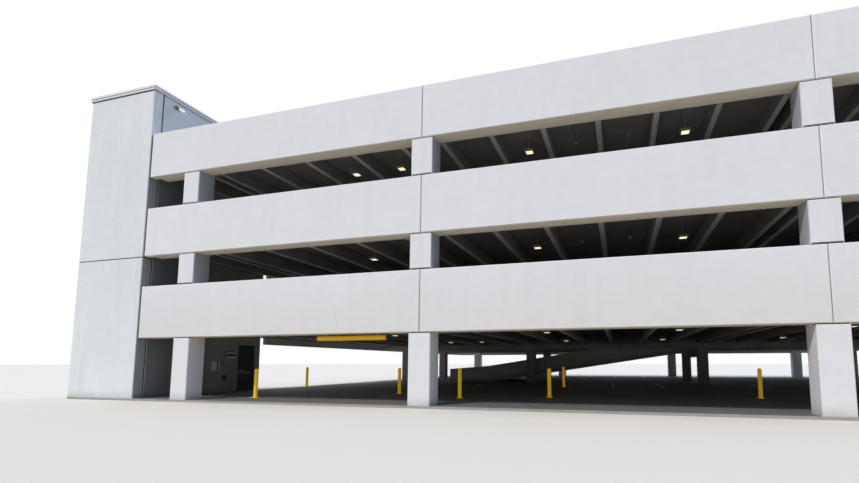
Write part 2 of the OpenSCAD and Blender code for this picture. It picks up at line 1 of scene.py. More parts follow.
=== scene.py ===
"""A multi storey car park of precast concrete, dressed for rendering.

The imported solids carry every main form. This script gives each of them its finish, adds the small
fittings that the solids leave out, and sets up the camera, the lamps and the floor. Lengths are in
metres. X runs along the front, Y into the building and Z up.
"""

from __future__ import annotations

import logging
import math
from collections.abc import Sequence
from dataclasses import dataclass
from enum import Enum
from functools import reduce
from typing import NamedTuple

import bmesh
import bpy
from mathutils import Matrix, Vector


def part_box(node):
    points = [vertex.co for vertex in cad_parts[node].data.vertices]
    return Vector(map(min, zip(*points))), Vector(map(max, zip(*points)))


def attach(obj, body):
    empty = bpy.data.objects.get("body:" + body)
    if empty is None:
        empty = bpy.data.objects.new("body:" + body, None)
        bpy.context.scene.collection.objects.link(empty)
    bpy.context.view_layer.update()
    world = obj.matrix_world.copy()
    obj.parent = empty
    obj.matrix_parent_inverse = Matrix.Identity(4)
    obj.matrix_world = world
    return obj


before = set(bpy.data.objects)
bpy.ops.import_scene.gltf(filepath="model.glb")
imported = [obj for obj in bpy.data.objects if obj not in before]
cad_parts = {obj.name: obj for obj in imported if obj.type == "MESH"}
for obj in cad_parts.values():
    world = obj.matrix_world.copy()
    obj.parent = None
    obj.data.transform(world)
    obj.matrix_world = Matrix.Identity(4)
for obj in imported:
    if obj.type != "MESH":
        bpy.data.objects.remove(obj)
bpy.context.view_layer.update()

log = logging.getLogger("car_park")

Flat = tuple[float, float]
Point = tuple[float, float, float]
Colour = tuple[float, float, float]
Socket = bpy.types.NodeSocket
Value = Socket | float | Sequence[float]


class Axis(Enum):
    """The axes of the building."""

    X = 0
    Y = 1
    Z = 2

    def point(self, across: Flat, along: float) -> Point:
        """Gives the point at two places across this axis and one along it."""
        return (*across[: self.value], along, *across[self.value :])


class Body(Enum):
    """The bodies that pieces ride on."""

    BUILDING = "building"
    DOOR = "tower_door"
    BAR = "clearance_bar"


class Slot(Enum):
    """The material slots of the record."""

    PANELS = "panel_concrete"
    FRAME = "frame_concrete"
    FLOORS = "floor_concrete"
    CAP = "cap_metal"
    DOORS = "door_paint"
    FITTINGS = "fitting_metal"
    LIGHTS = "light_casing"
    YELLOW = "yellow_paint"


class Effect(Enum):
    """The effects that several finishes share, by the names of their node groups."""

    CLOUDS = "clouded_tone"
    SAND = "cast_sand"
    RAIN = "rain_streaks"
    SPLASH = "ground_splash"
    TYRES = "tyre_wear"
    DUST = "settled_dust"


# Shader graphs


class Graph:
    """Adds nodes to one node tree and links them."""

    def __init__(self, tree: bpy.types.NodeTree) -> None:
        """Takes the tree that the nodes go into."""
        self.tree = tree

    def fill(self, target: Socket, value: Value) -> None:
        """Fills an input.

        Args:
            target: The input.
            value: A socket to link, or a plain value. A plain colour gets its alpha here.
        """
        if isinstance(value, Socket):
            self.tree.links.new(value, target)
        elif target.type == "RGBA":
            target.default_value = (*value, 1.0)
        else:
            target.default_value = value

    def add(
        self, kind: str, values: dict[str | int, Value] | None = None, **settings: object
    ) -> bpy.types.Node:
        """Adds a node.

        Args:
            kind: The node's type name.
            values: Input names or numbers, each with a plain value or a socket to link.
            **settings: Attributes of the node.

        Returns:
            The new node.
        """
        node = self.tree.nodes.new(kind)
        for name, value in settings.items():
            setattr(node, name, value)
        for key, value in (values or {}).items():
            self.fill(node.inputs[key], value)
        return node

    def math(self, operation: str, *values: Value) -> Socket:
        """Gives the result of a Math node, for up to three numbers or sockets."""
        return self.add("ShaderNodeMath", dict(enumerate(values)), operation=operation).outputs[0]

    def times(self, *values: Value) -> Socket:
        """Multiplies numbers or sockets with one another."""
        return reduce(lambda one, other: self.math("MULTIPLY", one, other), values)

    def ease(
        self, value: Socket, low: float, high: float, start: float = 0, end: float = 1
    ) -> Socket:
        """Maps a value smoothly from the range of low to high to that of start to end."""
        values = dict(enumerate((value, low, high, start, end)))
        return self.add("ShaderNodeMapRange", values, interpolation_type="SMOOTHSTEP").outputs[0]

    def blend(self, share: Value, one: Value, other: Value, mode: str = "MIX") -> Socket:
        """Blends another colour into one, as far as the share says, in a blend mode."""
        values = {0: share, 6: one, 7: other}
        return self.add("ShaderNodeMix", values, data_type="RGBA", blend_type=mode).outputs[2]

    def cover(self, colour: Value, mask: Socket, other: Value, *shares: float) -> Socket:
        """Lays another colour over a colour, by a mask times the shares."""
        return self.blend(self.times(mask, *shares), colour, other)

    def tint(self, colour: Value, other: Value, share: Value = 1.0) -> Socket:
        """Multiplies a colour by another one, as far as the share says."""
        return self.blend(share, colour, other, "MULTIPLY")

    def noise(
        self, place: Socket, scale: Value, detail: float = 3, rough: float = 0.5
    ) -> Socket:
        """Gives noise, by its patches to a metre, its number of finer layers and their strength."""
        values = {"Vector": place, "Scale": scale, "Detail": detail, "Roughness": rough}
        return self.add("ShaderNodeTexNoise", values).outputs[0]

    def cells(self, place: Socket, scale: float) -> bpy.types.NodeOutputs:
        """Adds cells, so many to a metre, and gives their distances and colours."""
        return self.add("ShaderNodeTexVoronoi", {"Vector": place, "Scale": scale}).outputs

    def stretch(self, place: Socket, scale: Point) -> Socket:
        """Multiplies coordinates by one factor for each axis."""
        return self.add("ShaderNodeMapping", {"Vector": place, "Scale": scale}).outputs[0]

    def window(self, value: Socket, span: Flat, soft: float = 0.4) -> Socket:
        """Gives a mask that is one inside a span, and fades softly on both sides of its ends."""
        begin, end = (self.ease(value, edge - soft, edge + soft) for edge in span)
        return self.math("SUBTRACT", begin, end)

    def split(self, vector: Socket) -> tuple[Socket, ...]:
        """Gives the X, Y and Z of a vector."""
        return tuple(self.add("ShaderNodeSeparateXYZ", {0: vector}).outputs)

    def looks(self, axis: Axis, sign: int = 1, span: Flat = (0.5, 0.9)) -> Socket:
        """Gives a mask of the faces that look one way along an axis, by a span of the normal."""
        normal = self.split(self.add("ShaderNodeNewGeometry").outputs["Normal"])
        return self.ease(normal[axis.value], span[0] * sign, span[1] * sign)


class EffectGraph(Graph):
    """A shared effect: a node group that each finish places with its own values.

    The lanes run along the front, on both sides of the ramp, and are given by their ends along Y.
    """

    lanes: tuple[Flat, Flat] = ((5.9, 12.1), (25.7, 30.3))

    def __init__(self, effect: Effect, inputs: Sequence[str]) -> None:
        """Starts the group.

        Args:
            effect: The effect that the group makes.
            inputs: The names of its plain inputs. The coordinates, called Place, come first.
        """
        super().__init__(bpy.data.node_groups.new(effect.value, "ShaderNodeTree"))
        self.socket("Place", "INPUT", "NodeSocketVector")
        for label in inputs:
            self.socket(label, "INPUT")
        self.given = self.add("NodeGroupInput").outputs
        self.place = self.given["Place"]

    def socket(self, label: str, way: str, kind: str = "NodeSocketFloat") -> None:
        """Gives the group a named input or output."""
        self.tree.interface.new_socket(name=label, in_out=way, socket_type=kind)

    def close(self, outputs: dict[str, Socket]) -> None:
        """Gives the group its outputs.

        Args:
            outputs: Their names, and the sockets that they put out.
        """
        for label in outputs:
            self.socket(label, "OUTPUT")
        self.add("NodeGroupOutput", outputs)

    def clouds(self) -> dict[str, Socket]:
        """Makes slow changes of tone over a surface, around a value of one.

        Returns:
            The tone.
        """
        patches = self.noise(self.place, self.given["Scale"], detail=4, rough=0.6)
        swing = self.times(self.math("SUBTRACT", patches, 0.5), self.given["Depth"])
        return {"Tone": self.math("MULTIPLY_ADD", swing, 2.0, 1.0)}

    def sand(self) -> dict[str, Socket]:
        """Makes the grain of blasted concrete, with small open pits left by air in the mould.

        Returns:
            The relief, and the mask of the pits.
        """
        grain = self.noise(self.place, 160, detail=2, rough=0.7)
        waves = self.noise(self.place, 9)
        spots = self.ease(self.cells(self.place, 22)["Distance"], 0.16, 0.07)
        chosen = self.ease(self.noise(self.place, 6, detail=1), 0.5, 0.62)
        pits = self.times(spots, chosen, self.given["Pits"])
        height = self.math("MULTIPLY_ADD", grain, 0.35, self.times(waves, 0.6))
        return {"Height": self.math("SUBTRACT", height, pits), "Pit Mask": pits}

    def rain(self) -> dict[str, Socket]:
        """Makes long streaks where rain has run down, broken up along their length.

        Returns:
            The mask of the streaks.
        """
        x, y, z = self.split(self.place)
        along = self.times(self.math("ADD", x, y), self.given["Width"])
        drawn = self.add("ShaderNodeCombineXYZ", {0: along, 1: y, 2: self.times(z, 0.25)})
        streaks = self.ease(self.noise(drawn.outputs[0], 1, detail=4, rough=0.6), 0.42, 0.72)
        broken = self.ease(self.noise(self.place, 0.7, detail=2), 0.3, 0.7)
        return {"Mask": self.times(streaks, broken, self.given["Cover"])}

    def splash(self) -> dict[str, Socket]:
        """Makes dirt thrown up from the ground, which fades with height.

        Returns:
            The mask of the dirt.
        """
        share = self.math("DIVIDE", self.split(self.place)[2], self.given["Reach"])
        ragged = self.noise(self.place, 3, detail=4, rough=0.6)
        edge = self.math("MULTIPLY_ADD", ragged, 0.7, 0.6)
        return {"Mask": self.ease(self.math("SUBTRACT", edge, share), 0.1, 1.0)}

    def tyres(self) -> dict[str, Socket]:
        """Makes dark tracks along the lanes, and scattered oil drips.

        Returns:
            The mask of the tracks, and that of the drips.
        """
        y = self.split(self.place)[1]
        wander = self.noise(self.stretch(self.place, (0.3, 1, 1)), 0.35, detail=1)
        across = self.math("MULTIPLY_ADD", wander, 0.9, y)
        waves = self.math("ABSOLUTE", self.math("SINE", self.times(across, 1.85)))
        lanes = self.math("ADD", *(self.window(y, lane) for lane in self.lanes))
        worn = self.noise(self.stretch(self.place, (0.12, 1.2, 1)), 1.6, detail=4)
        tracks = self.times(self.ease(waves, 0.6, 1.0), lanes, self.ease(worn, 0.3, 0.8))
        drips = self.ease(self.cells(self.place, 0.9)["Distance"], 0.16, 0.03)
        return {"Mask": tracks, "Drips": drips}

    def dust(self) -> dict[str, Socket]:
        """Makes dust that lies on faces that look up.

        Returns:
            The mask of the dust.
        """
        patches = self.noise(self.place, 4, detail=4, rough=0.6)
        patches = self.math("MULTIPLY_ADD", patches, 0.8, 0.3)
        lying = self.looks(Axis.Z, span=(0.4, 0.9))
        return {"Mask": self.times(lying, patches, self.given["Amount"])}


def build_effects() -> None:
    """Builds the node group of every shared effect."""
    for effect, inputs, make in (
        (Effect.CLOUDS, ("Scale", "Depth"), EffectGraph.clouds),
        (Effect.SAND, ("Pits",), EffectGraph.sand),
        (Effect.RAIN, ("Width", "Cover"), EffectGraph.rain),
        (Effect.SPLASH, ("Reach",), EffectGraph.splash),
        (Effect.TYRES, (), EffectGraph.tyres),
        (Effect.DUST, ("Amount",), EffectGraph.dust),
    ):
        graph = EffectGraph(effect, inputs)
        graph.close(make(graph))


class Surface(Graph):
    """The graph of a material, with its shader and its coordinates."""

    def __init__(self, material: bpy.types.Material) -> None:
        """Gives the material nodes, and finds its shader.

        Args:
            material: The material.
        """
        material.use_nodes = True
        super().__init__(material.node_tree)
        self.shader = self.tree.nodes["Principled BSDF"]
        self.place = self.add("ShaderNodeTexCoord").outputs["Object"]

    def feed(self, label: str, value: Value) -> None:
        """Fills one of the shader's inputs."""
        self.fill(self.shader.inputs[label], value)

    def use(self, effect: Effect, **values: float) -> bpy.types.NodeOutputs:
        """Places a shared effect with its own values, and gives its outputs."""
        tree = bpy.data.node_groups[effect.value]
        return self.add("ShaderNodeGroup", {"Place": self.place, **values}, node_tree=tree).outputs

    def clouds(self, scale: float, depth: float) -> Socket:
        """Gives a grey with cloudy changes around one, to tint a colour with."""
        tone = self.use(Effect.CLOUDS, Scale=scale, Depth=depth)["Tone"]
        return self.add("ShaderNodeCombineColor", {0: tone, 1: tone, 2: tone}).outputs[0]

    def roughen(self, mask: Socket, other: float) -> None:
        """Moves the shader's plain roughness to another one, as far as a mask says."""
        plain = self.shader.inputs["Roughness"].default_value
        self.feed("Roughness", self.ease(mask, 0, 1, plain, other))

    def bump(self, height: Socket, depth: float) -> None:
        """Feeds a relief to the shader's normal, at its depth in metres."""
        values = {"Height": height, "Strength": 1.0, "Distance": depth}
        self.feed("Normal", self.add("ShaderNodeBump", values).outputs[0])


# Finishes


def shade(colour: Colour, *factors: float) -> Colour:
    """Multiplies a colour by one factor, or by one for each channel, up to full strength."""
    return tuple(min(part * factor, 1.0) for part, factor in zip(colour, factors * 3))


@dataclass(frozen=True)
class Finish:
    """A finish: its name, its slot in the record, and its plain colour, gloss and glow."""

    name: str
    slot: Slot
    colour: Colour
    roughness: float = 0.85
    metallic: float = 0.0
    coat: float = 0.0
    glow: float = 0.0
    glow_colour: Colour = (1.0, 0.93, 0.62)

    def material(self) -> bpy.types.Material:
        """Builds the material, or gives the one that was built before.

        Returns:
            The material.
        """
        if self.name in bpy.data.materials:
            return bpy.data.materials[self.name]
        material = bpy.data.materials.new(self.name)
        material.diffuse_color = (*self.colour, 1.0)
        work = Surface(material)
        work.feed("Roughness", self.roughness)
        work.feed("Metallic", self.metallic)
        work.feed("Coat Weight", self.coat)
        work.feed("Emission Strength", self.glow)
        work.feed("Emission Color", self.glow_colour)
        self.dress(work)
        return material

    def dress(self, work: Surface) -> None:
        """Adds the nodes that make this finish."""
        raise NotImplementedError


@dataclass(frozen=True)
class PanelConcrete(Finish):
    """Pale precast concrete, lightly blasted, with faint clouds, streaks and pits, and painted
    shade low down.
    """

    cloud_depth: float = 0.06
    streak_cover: float = 0.22
    splash_reach: float = 0.5
    warmth: Colour = (1.0, 0.975, 0.94)
    mud: Colour = (0.30, 0.27, 0.23)
    pit_shade: Colour = (0.35, 0.34, 0.33)
    soffit_tone_and_painted_bounce: Colour = (1.04, 0.93, 0.76)
    low_shade_heights: Flat = (4.5, 2.2)
    low_shade_tint: Colour = (0.93, 0.91, 0.87)
    relief: float = 0.004

    def dress(self, work: Surface) -> None:
        """Adds clouds, warmer patches, streaks, ground dirt, pits and grain, and warms the
        undersides, partly as raw concrete and partly as painted bounce light.

        Args:
            work: The material's graph.
        """
        colour = work.tint(self.colour, work.clouds(0.35, self.cloud_depth))
        colour = work.tint(colour, work.clouds(3.2, self.cloud_depth * 0.8))
        warm = work.ease(work.noise(work.place, 0.9), 0.45, 0.75, 0.0, 0.35)
        colour = work.cover(colour, warm, shade(self.colour, *self.warmth))
        streaks = work.use(Effect.RAIN, Width=2.6, Cover=self.streak_cover)["Mask"]
        colour = work.cover(colour, streaks, shade(self.colour, 0.72))
        splash = work.use(Effect.SPLASH, Reach=self.splash_reach)["Mask"]
        colour = work.cover(colour, splash, self.mud, 0.45)
        sand = work.use(Effect.SAND, Pits=0.6)
        colour = work.cover(colour, sand["Pit Mask"], self.pit_shade, 0.5)
        # undersides warmer: partly the raw concrete's tone, partly painted warm bounce light
        colour = work.tint(colour, self.soffit_tone_and_painted_bounce, work.looks(Axis.Z, -1))
        work.feed("Base Color", self.paint_shade(work, colour))
        work.roughen(streaks, 0.7)
        work.bump(sand["Height"], self.relief)

    def paint_shade(self, work: Surface, colour: Socket) -> Socket:
        """Darkens what lies low, as painted shade."""
        # painted shade: the colour darkens below these heights
        low = work.ease(work.split(work.place)[2], *self.low_shade_heights)
        return work.tint(colour, self.low_shade_tint, low)


@dataclass(frozen=True)
class ColumnConcrete(PanelConcrete):
    """The columns' concrete, with painted shade on its two sides above the lowest panels."""

    shade_above_heights: Flat = (3.9, 4.5)
    side_shade_tint: Colour = (0.56, 0.57, 0.60)

    def paint_shade(self, work: Surface, colour: Socket) -> Socket:
        """Paints shade on the two sides.

        Args:
            work: The material's graph.
            colour: The colour so far.

        Returns:
            The shaded colour's socket.
        """
        high = work.ease(work.split(work.place)[2], *self.shade_above_heights)
        # painted shade on the faces that look along X
        side = work.math("ADD", work.looks(Axis.X), work.looks(Axis.X, -1))
        return work.tint(colour, self.side_shade_tint, work.times(high, side))


@dataclass(frozen=True)
class TowerConcrete(PanelConcrete):
    """The tower's concrete, with painted shade on the side that faces the decks."""

    shade_below_heights: Flat = (10.5, 10.2)
    corner: Flat = (0.01, 0.09)
    deep: Flat = (1.9, 3.2)
    corner_shade_tint: Colour = (0.45, 0.46, 0.46)
    wall_shade_tint: Colour = (0.28, 0.28, 0.29)
    deep_shade_tint: Colour = (0.56, 0.545, 0.515)

    def paint_shade(self, work: Surface, colour: Socket) -> Socket:
        """Paints shade on the side that faces the decks: at the corner, on the wall and deep
        inside.

        Args:
            work: The material's graph.
            colour: The colour so far.

        Returns:
            The stained colour's socket.
        """
        _, y, z = work.split(work.place)
        # painted shade: darker tints by depth into the building, below the roof panels
        tint = work.blend(work.ease(y, *self.corner), self.corner_shade_tint, self.wall_shade_tint)
        tint = work.blend(work.ease(y, *self.deep), tint, self.deep_shade_tint)
        side = work.times(work.looks(Axis.X), work.ease(z, *self.shade_below_heights))
        return work.tint(colour, tint, side)


@dataclass(frozen=True)
class FrameConcrete(Finish):
    """Plain grey concrete as the mould leaves it, on girders, columns and landings."""

    dust: Colour = (0.33, 0.31, 0.28)
    pit_shade: Colour = (0.08, 0.08, 0.08)
    relief: float = 0.005

    def dress(self, work: Surface) -> None:
        """Adds clouds, damp streaks, dust, pits and grain.

        Args:
            work: The material's graph.
        """
        colour = work.tint(self.colour, work.clouds(1.3, 0.16))
        damp = work.use(Effect.RAIN, Width=1.2, Cover=0.5)["Mask"]
        colour = work.cover(colour, damp, shade(self.colour, 0.6))
        colour = work.cover(colour, work.use(Effect.DUST, Amount=0.4)["Mask"], self.dust)
        sand = work.use(Effect.SAND, Pits=0.9)
        work.feed("Base Color", work.cover(colour, sand["Pit Mask"], self.pit_shade))
        work.bump(sand["Height"], self.relief)


@dataclass(frozen=True)
class DeckConcrete(Finish):
    """Broomed concrete, worn by tyres on top. Below, painted light makes the stems' feet pale and
    painted shade makes the rest dark.
    """

    shaded_slab_below: Colour = (0.40, 0.385, 0.36)
    lit_stem_foot: Colour = (0.78, 0.745, 0.69)
    shaded_stem_side: Colour = (0.34, 0.33, 0.31)
    tyre_mark: Colour = (0.075, 0.075, 0.076)
    oil: Colour = (0.035, 0.032, 0.03)
    base_z: float = 0.09
    storey: float = 3.15
    foot_fade: Flat = (3.02, 2.62)
    broom_scale: float = 45
    relief: float = 0.004

    def dress(self, work: Surface) -> None:
        """Adds the worn top, and below it painted light on the stems' feet and painted shade on
        their sides and the slab between them.

        Args:
            work: The material's graph.
        """
        up, down = work.looks(Axis.Z), work.looks(Axis.Z, -1)
        tone = work.clouds(2.1, 0.22)
        height = work.math("SUBTRACT", work.split(work.place)[2], self.base_z)
        # below: the stems' feet get painted light; their sides and the slab between them get
        # painted shade
        foot = work.ease(work.math("MODULO", height, self.storey), *self.foot_fade)
        below = work.blend(foot, self.shaded_slab_below, self.lit_stem_foot)
        below = work.tint(work.blend(down, self.shaded_stem_side, below), tone)
        tyres = work.use(Effect.TYRES)
        top = work.cover(work.tint(self.colour, tone), tyres["Mask"], self.tyre_mark, 0.45)
        top = work.cover(top, tyres["Drips"], self.oil, 0.5)
        work.feed("Base Color", work.blend(up, below, top))
        work.roughen(tyres["Drips"], 0.45)
        drawn = work.stretch(work.place, (1, 0.05, 1))
        lines = work.times(work.noise(drawn, self.broom_scale, detail=2, rough=0.6), up)
        sand = work.use(Effect.SAND, Pits=0.5)["Height"]
        work.bump(work.math("MULTIPLY_ADD", lines, 0.8, sand), self.relief)


@dataclass(frozen=True)
class PaintedMetal(Finish):
    """Painted metal with a slight orange peel, dulled by dust and rain."""

    worn: Colour = (0.5, 0.5, 0.5)
    wear: float = 0.25
    dust_amount: float = 0.35
    dust: Colour = (0.52, 0.49, 0.44)
    peel: float = 0.0006

    def dress(self, work: Surface) -> None:
        """Adds tone, scuffs, rain marks, dust and peel.

        Args:
            work: The material's graph.
        """
        colour = work.tint(self.colour, work.clouds(5.0, 0.08))
        drawn = work.stretch(work.place, (1, 1, 2.5))
        scuffs = work.ease(work.noise(drawn, 26, detail=5, rough=0.75), 0.62, 0.78)
        colour = work.cover(colour, scuffs, self.worn, self.wear)
        streaks = work.use(Effect.RAIN, Width=14.0, Cover=0.3)["Mask"]
        colour = work.cover(colour, streaks, shade(self.colour, 0.7))
        dust = work.use(Effect.DUST, Amount=self.dust_amount)["Mask"]
        work.feed("Base Color", work.cover(colour, dust, self.dust))
        work.roughen(work.math("MAXIMUM", dust, scuffs), self.roughness + 0.3)
        work.bump(work.noise(work.place, 420, detail=2), self.peel)


@dataclass(frozen=True)
class BareMetal(Finish):
    """Galvanised or brushed metal, with fine lines and a dull bloom."""

    relief: float = 0.0004

    def dress(self, work: Surface) -> None:
        """Adds brushing, spangle and bloom.

        Args:
            work: The material's graph.
        """
        spangle = work.cells(work.place, 55)["Color"]
        colour = work.blend(0.12, self.colour, spangle, "SOFT_LIGHT")
        bloom = work.ease(work.noise(work.place, 7, detail=4, rough=0.6), 0.45, 0.7, 0.0, 0.5)
        work.feed("Base Color", work.cover(colour, bloom, shade(self.colour, 1.2)))
        lines = work.noise(work.stretch(work.place, (1, 1, 0.04)), 70, rough=0.6)
        work.roughen(work.ease(lines, 0.4, 0.75), self.roughness + 0.2)
        work.bump(lines, self.relief)


@dataclass(frozen=True)
class SoftSeal(Finish):
    """Sealant or rubber, a little uneven, with dust in it."""

    dust_amount: float = 0.5
    dust: Colour = (0.34, 0.32, 0.29)
    relief: float = 0.0012

    def dress(self, work: Surface) -> None:
        """Adds tone, dust and the ripple of hand tooling.

        Args:
            work: The material's graph.
        """
        colour = work.tint(self.colour, work.clouds(8.0, 0.2))
        dust = work.use(Effect.DUST, Amount=self.dust_amount)["Mask"]
        work.feed("Base Color", work.cover(colour, dust, self.dust))
        work.bump(work.noise(work.place, 35, rough=0.6), self.relief)


@dataclass(frozen=True)
class RoadPaint(Finish):
    """White line paint, worn through to the concrete in patches."""

    under: Colour = (0.20, 0.20, 0.20)
    tyre_mark: Colour = (0.07, 0.07, 0.07)
    relief: float = 0.002

    def dress(self, work: Surface) -> None:
        """Adds worn patches, tyre marks and grit.

        Args:
            work: The material's graph.
        """
        worn = work.ease(work.noise(work.place, 6.5, detail=6, rough=0.72), 0.5, 0.66, 0.0, 0.75)
        colour = work.cover(self.colour, worn, self.under)
        tyres = work.use(Effect.TYRES)["Mask"]
        work.feed("Base Color", work.cover(colour, tyres, self.tyre_mark, 0.5))
        work.roughen(worn, 0.9)
        work.bump(work.noise(work.place, 190, detail=2, rough=0.6), self.relief)


@dataclass(frozen=True)
class LampLens(Finish):
    """A frosted lens with the lamp's light in it."""

    glow: float = 1.15
    relief: float = 0.001

    def dress(self, work: Surface) -> None:
        """Adds a little dust, the glow and the prisms' relief.

        Args:
            work: The material's graph.
        """
        dust = work.clouds(9.0, 0.12)
        work.feed("Base Color", work.tint(self.colour, dust))
        work.feed("Emission Color", work.tint(self.glow_colour, dust))
        work.bump(work.cells(work.place, 90)["Distance"], self.relief)


PALE = (0.775, 0.775, 0.80)
WORN_YELLOW = (0.66, 0.40, 0.06)

PANEL = PanelConcrete("blasted_panel_concrete", Slot.PANELS, PALE, streak_cover=0.14)
COLUMN = ColumnConcrete("blasted_column_concrete", Slot.PANELS, PALE)
TOWER = TowerConcrete(
    "tower_wall_concrete", Slot.PANELS, (0.755, 0.775, 0.80), cloud_depth=0.09, streak_cover=0.30
)
RAMP_WALL = PanelConcrete("ramp_wall_concrete", Slot.PANELS, (0.55, 0.545, 0.535))
FRAME_PARTS = FrameConcrete("mould_grey_concrete", Slot.FRAME, (0.36, 0.35, 0.33))
DECKS = DeckConcrete("worn_deck_concrete", Slot.FRAME, (0.30, 0.295, 0.285))
GROUND = DeckConcrete("ground_floor_concrete", Slot.FLOORS, (0.125, 0.125, 0.127), 0.75)
CAP = PaintedMetal(
    "coated_cap_metal", Slot.CAP, (0.66, 0.67, 0.69), 0.42, 0.15, worn=(0.55, 0.55, 0.55)
)
DOOR_PAINT = PaintedMetal(
    "night_blue_door_paint", Slot.DOORS, (0.022, 0.028, 0.045), 0.42,
    coat=0.25, worn=(0.10, 0.11, 0.13),
)
STEEL = BareMetal("galvanised_fittings", Slot.FITTINGS, (0.52, 0.53, 0.54), 0.38, 0.9)
CASING = PaintedMetal("white_lamp_casing", Slot.LIGHTS, (0.80, 0.80, 0.78), 0.45)
# grey copy of the white lamp casing: painted shade for the fittings inside the decks
SHADED_CASING = PaintedMetal(
    "shaded_lamp_casing", Slot.LIGHTS, (0.36, 0.35, 0.32), 0.6, dust_amount=0.1
)
# painted light: a faint glow that lifts the bar and the bollard plates in shade
YELLOW = PaintedMetal(
    "safety_yellow_paint", Slot.YELLOW, (1.0, 0.53, 0.004), 0.5,
    glow=0.03, glow_colour=(1.0, 0.55, 0.01), worn=WORN_YELLOW, wear=0.2, dust_amount=0.06,
)
# painted light: a glow that lifts the bollards in shade
BOLLARD_PAINT = PaintedMetal(
    "yellow_paint_painted_glow", Slot.YELLOW, (1.0, 0.62, 0.01), 0.45,
    glow=0.2, glow_colour=(1.0, 0.62, 0.02), worn=WORN_YELLOW, wear=0.15, dust_amount=0.05,
)
WALL_BOX = PaintedMetal(
    "pale_wall_box_paint", Slot.FITTINGS, (0.92, 0.91, 0.85), 0.5, wear=0.1, dust_amount=0.1
)
GREY_BOX = PaintedMetal("grey_wall_box_paint", Slot.FITTINGS, (0.32, 0.31, 0.28), 0.5, wear=0.1)
DARK_COVER = PaintedMetal(
    "dark_cover_paint", Slot.FITTINGS, (0.025, 0.027, 0.03), 0.35, worn=(0.1, 0.1, 0.1)
)
BRONZE = PaintedMetal("brown_bracket_paint", Slot.LIGHTS, (0.22, 0.19, 0.165), 0.5)
SEALANT = SoftSeal("grey_joint_sealant", Slot.FITTINGS, (0.20, 0.20, 0.205), 0.7)
# painted shade in the cap's groove and painted shadow under its overhang
CAP_SHADE = SoftSeal(
    "cap_painted_shade", Slot.FITTINGS, (0.045, 0.035, 0.028), 0.7, dust_amount=0.1
)
RUBBER = SoftSeal("black_rubber", Slot.FITTINGS, (0.03, 0.03, 0.032), 0.65, dust_amount=0.2)
LINES = RoadPaint("white_bay_paint", Slot.FLOORS, (0.72, 0.72, 0.70), 0.6)
LENS = LampLens("glowing_lamp_lens", Slot.LIGHTS, (0.9, 0.9, 0.86), 0.4)
WALL_LENS = LampLens(
    "wall_lamp_lens", Slot.LIGHTS, (0.85, 0.85, 0.86), 0.25, glow=0.45, glow_colour=(1.0, 0.97, 1.0)
)

NODE_FINISHES: dict[Finish, tuple[str, ...]] = {
    PANEL: (
        "front_panels_level_2", "front_panels_level_3", "front_panels_roof", "rear_panels",
        "left_side_panels", "right_side_panels",
    ),
    COLUMN: ("front_columns", "rear_columns"),
    TOWER: (
        "tower_front_wall", "tower_left_wall", "tower_back_wall", "tower_side_wall_front",
        "tower_side_wall_rear", "tower_side_wall_lintels",
    ),
    RAMP_WALL: ("ramp_walls", "ramp_well_guards"),
    FRAME_PARTS: ("middle_columns", "girders", "ramp_beams", "tower_landings", "tower_roof"),
    DECKS: (
        "front_floor_level_2", "front_floor_level_3", "front_floor_roof", "rear_floors",
        "ramp_landings",
    ),
    GROUND: ("ground_slab", "ramp_flights", "tower_base"),
    CAP: ("tower_cap",),
    DOOR_PAINT: ("tower_door_frame", "tower_door", "upper_door_frames", "upper_doors"),
    STEEL: ("tower_door_handles", "upper_door_handles", "clearance_bar_brackets"),
    GREY_BOX: ("tower_wall_plates",),
    CASING: ("tower_wall_light",),
    SHADED_CASING: ("ceiling_lights", "ceiling_heads"),
    BOLLARD_PAINT: ("bollards",),
    YELLOW: ("clearance_bar",),
}


# Meshes


def link(name: str, data: bpy.types.ID) -> bpy.types.Object:
    """Puts a new object into the scene.

    Args:
        name: Its name.
        data: Its mesh, camera or lamp.

    Returns:
        The object.
    """
    made = bpy.data.objects.new(name, data)
    bpy.context.scene.collection.objects.link(made)
    return made


def even(first: float, last: float, count: int) -> list[float]:
    """Spreads numbers evenly from the first to the last."""
    return [first + (last - first) * k / (count - 1) for k in range(count)]


def moved(outline: Sequence[Flat], across: float, up: float) -> list[Flat]:
    """Moves an outline by the two distances."""
    return [(a + across, b + up) for a, b in outline]


def border(xs: Flat, ys: Flat, width: float) -> list[tuple[Flat, Flat]]:
    """Gives the four strips round a rectangle.

    Args:
        xs: The rectangle's ends along X.
        ys: The rectangle's ends along Y.
        width: The strips' width.

    Returns:
        The ends along X and Y of the front, rear, left and right strip.
    """
    wide = (xs[0] - width, xs[1] + width)
    return [
        (wide, (ys[0] - width, ys[0])), (wide, (ys[1], ys[1] + width)),
        ((xs[0] - width, xs[0]), ys), ((xs[1], xs[1] + width), ys),
    ]


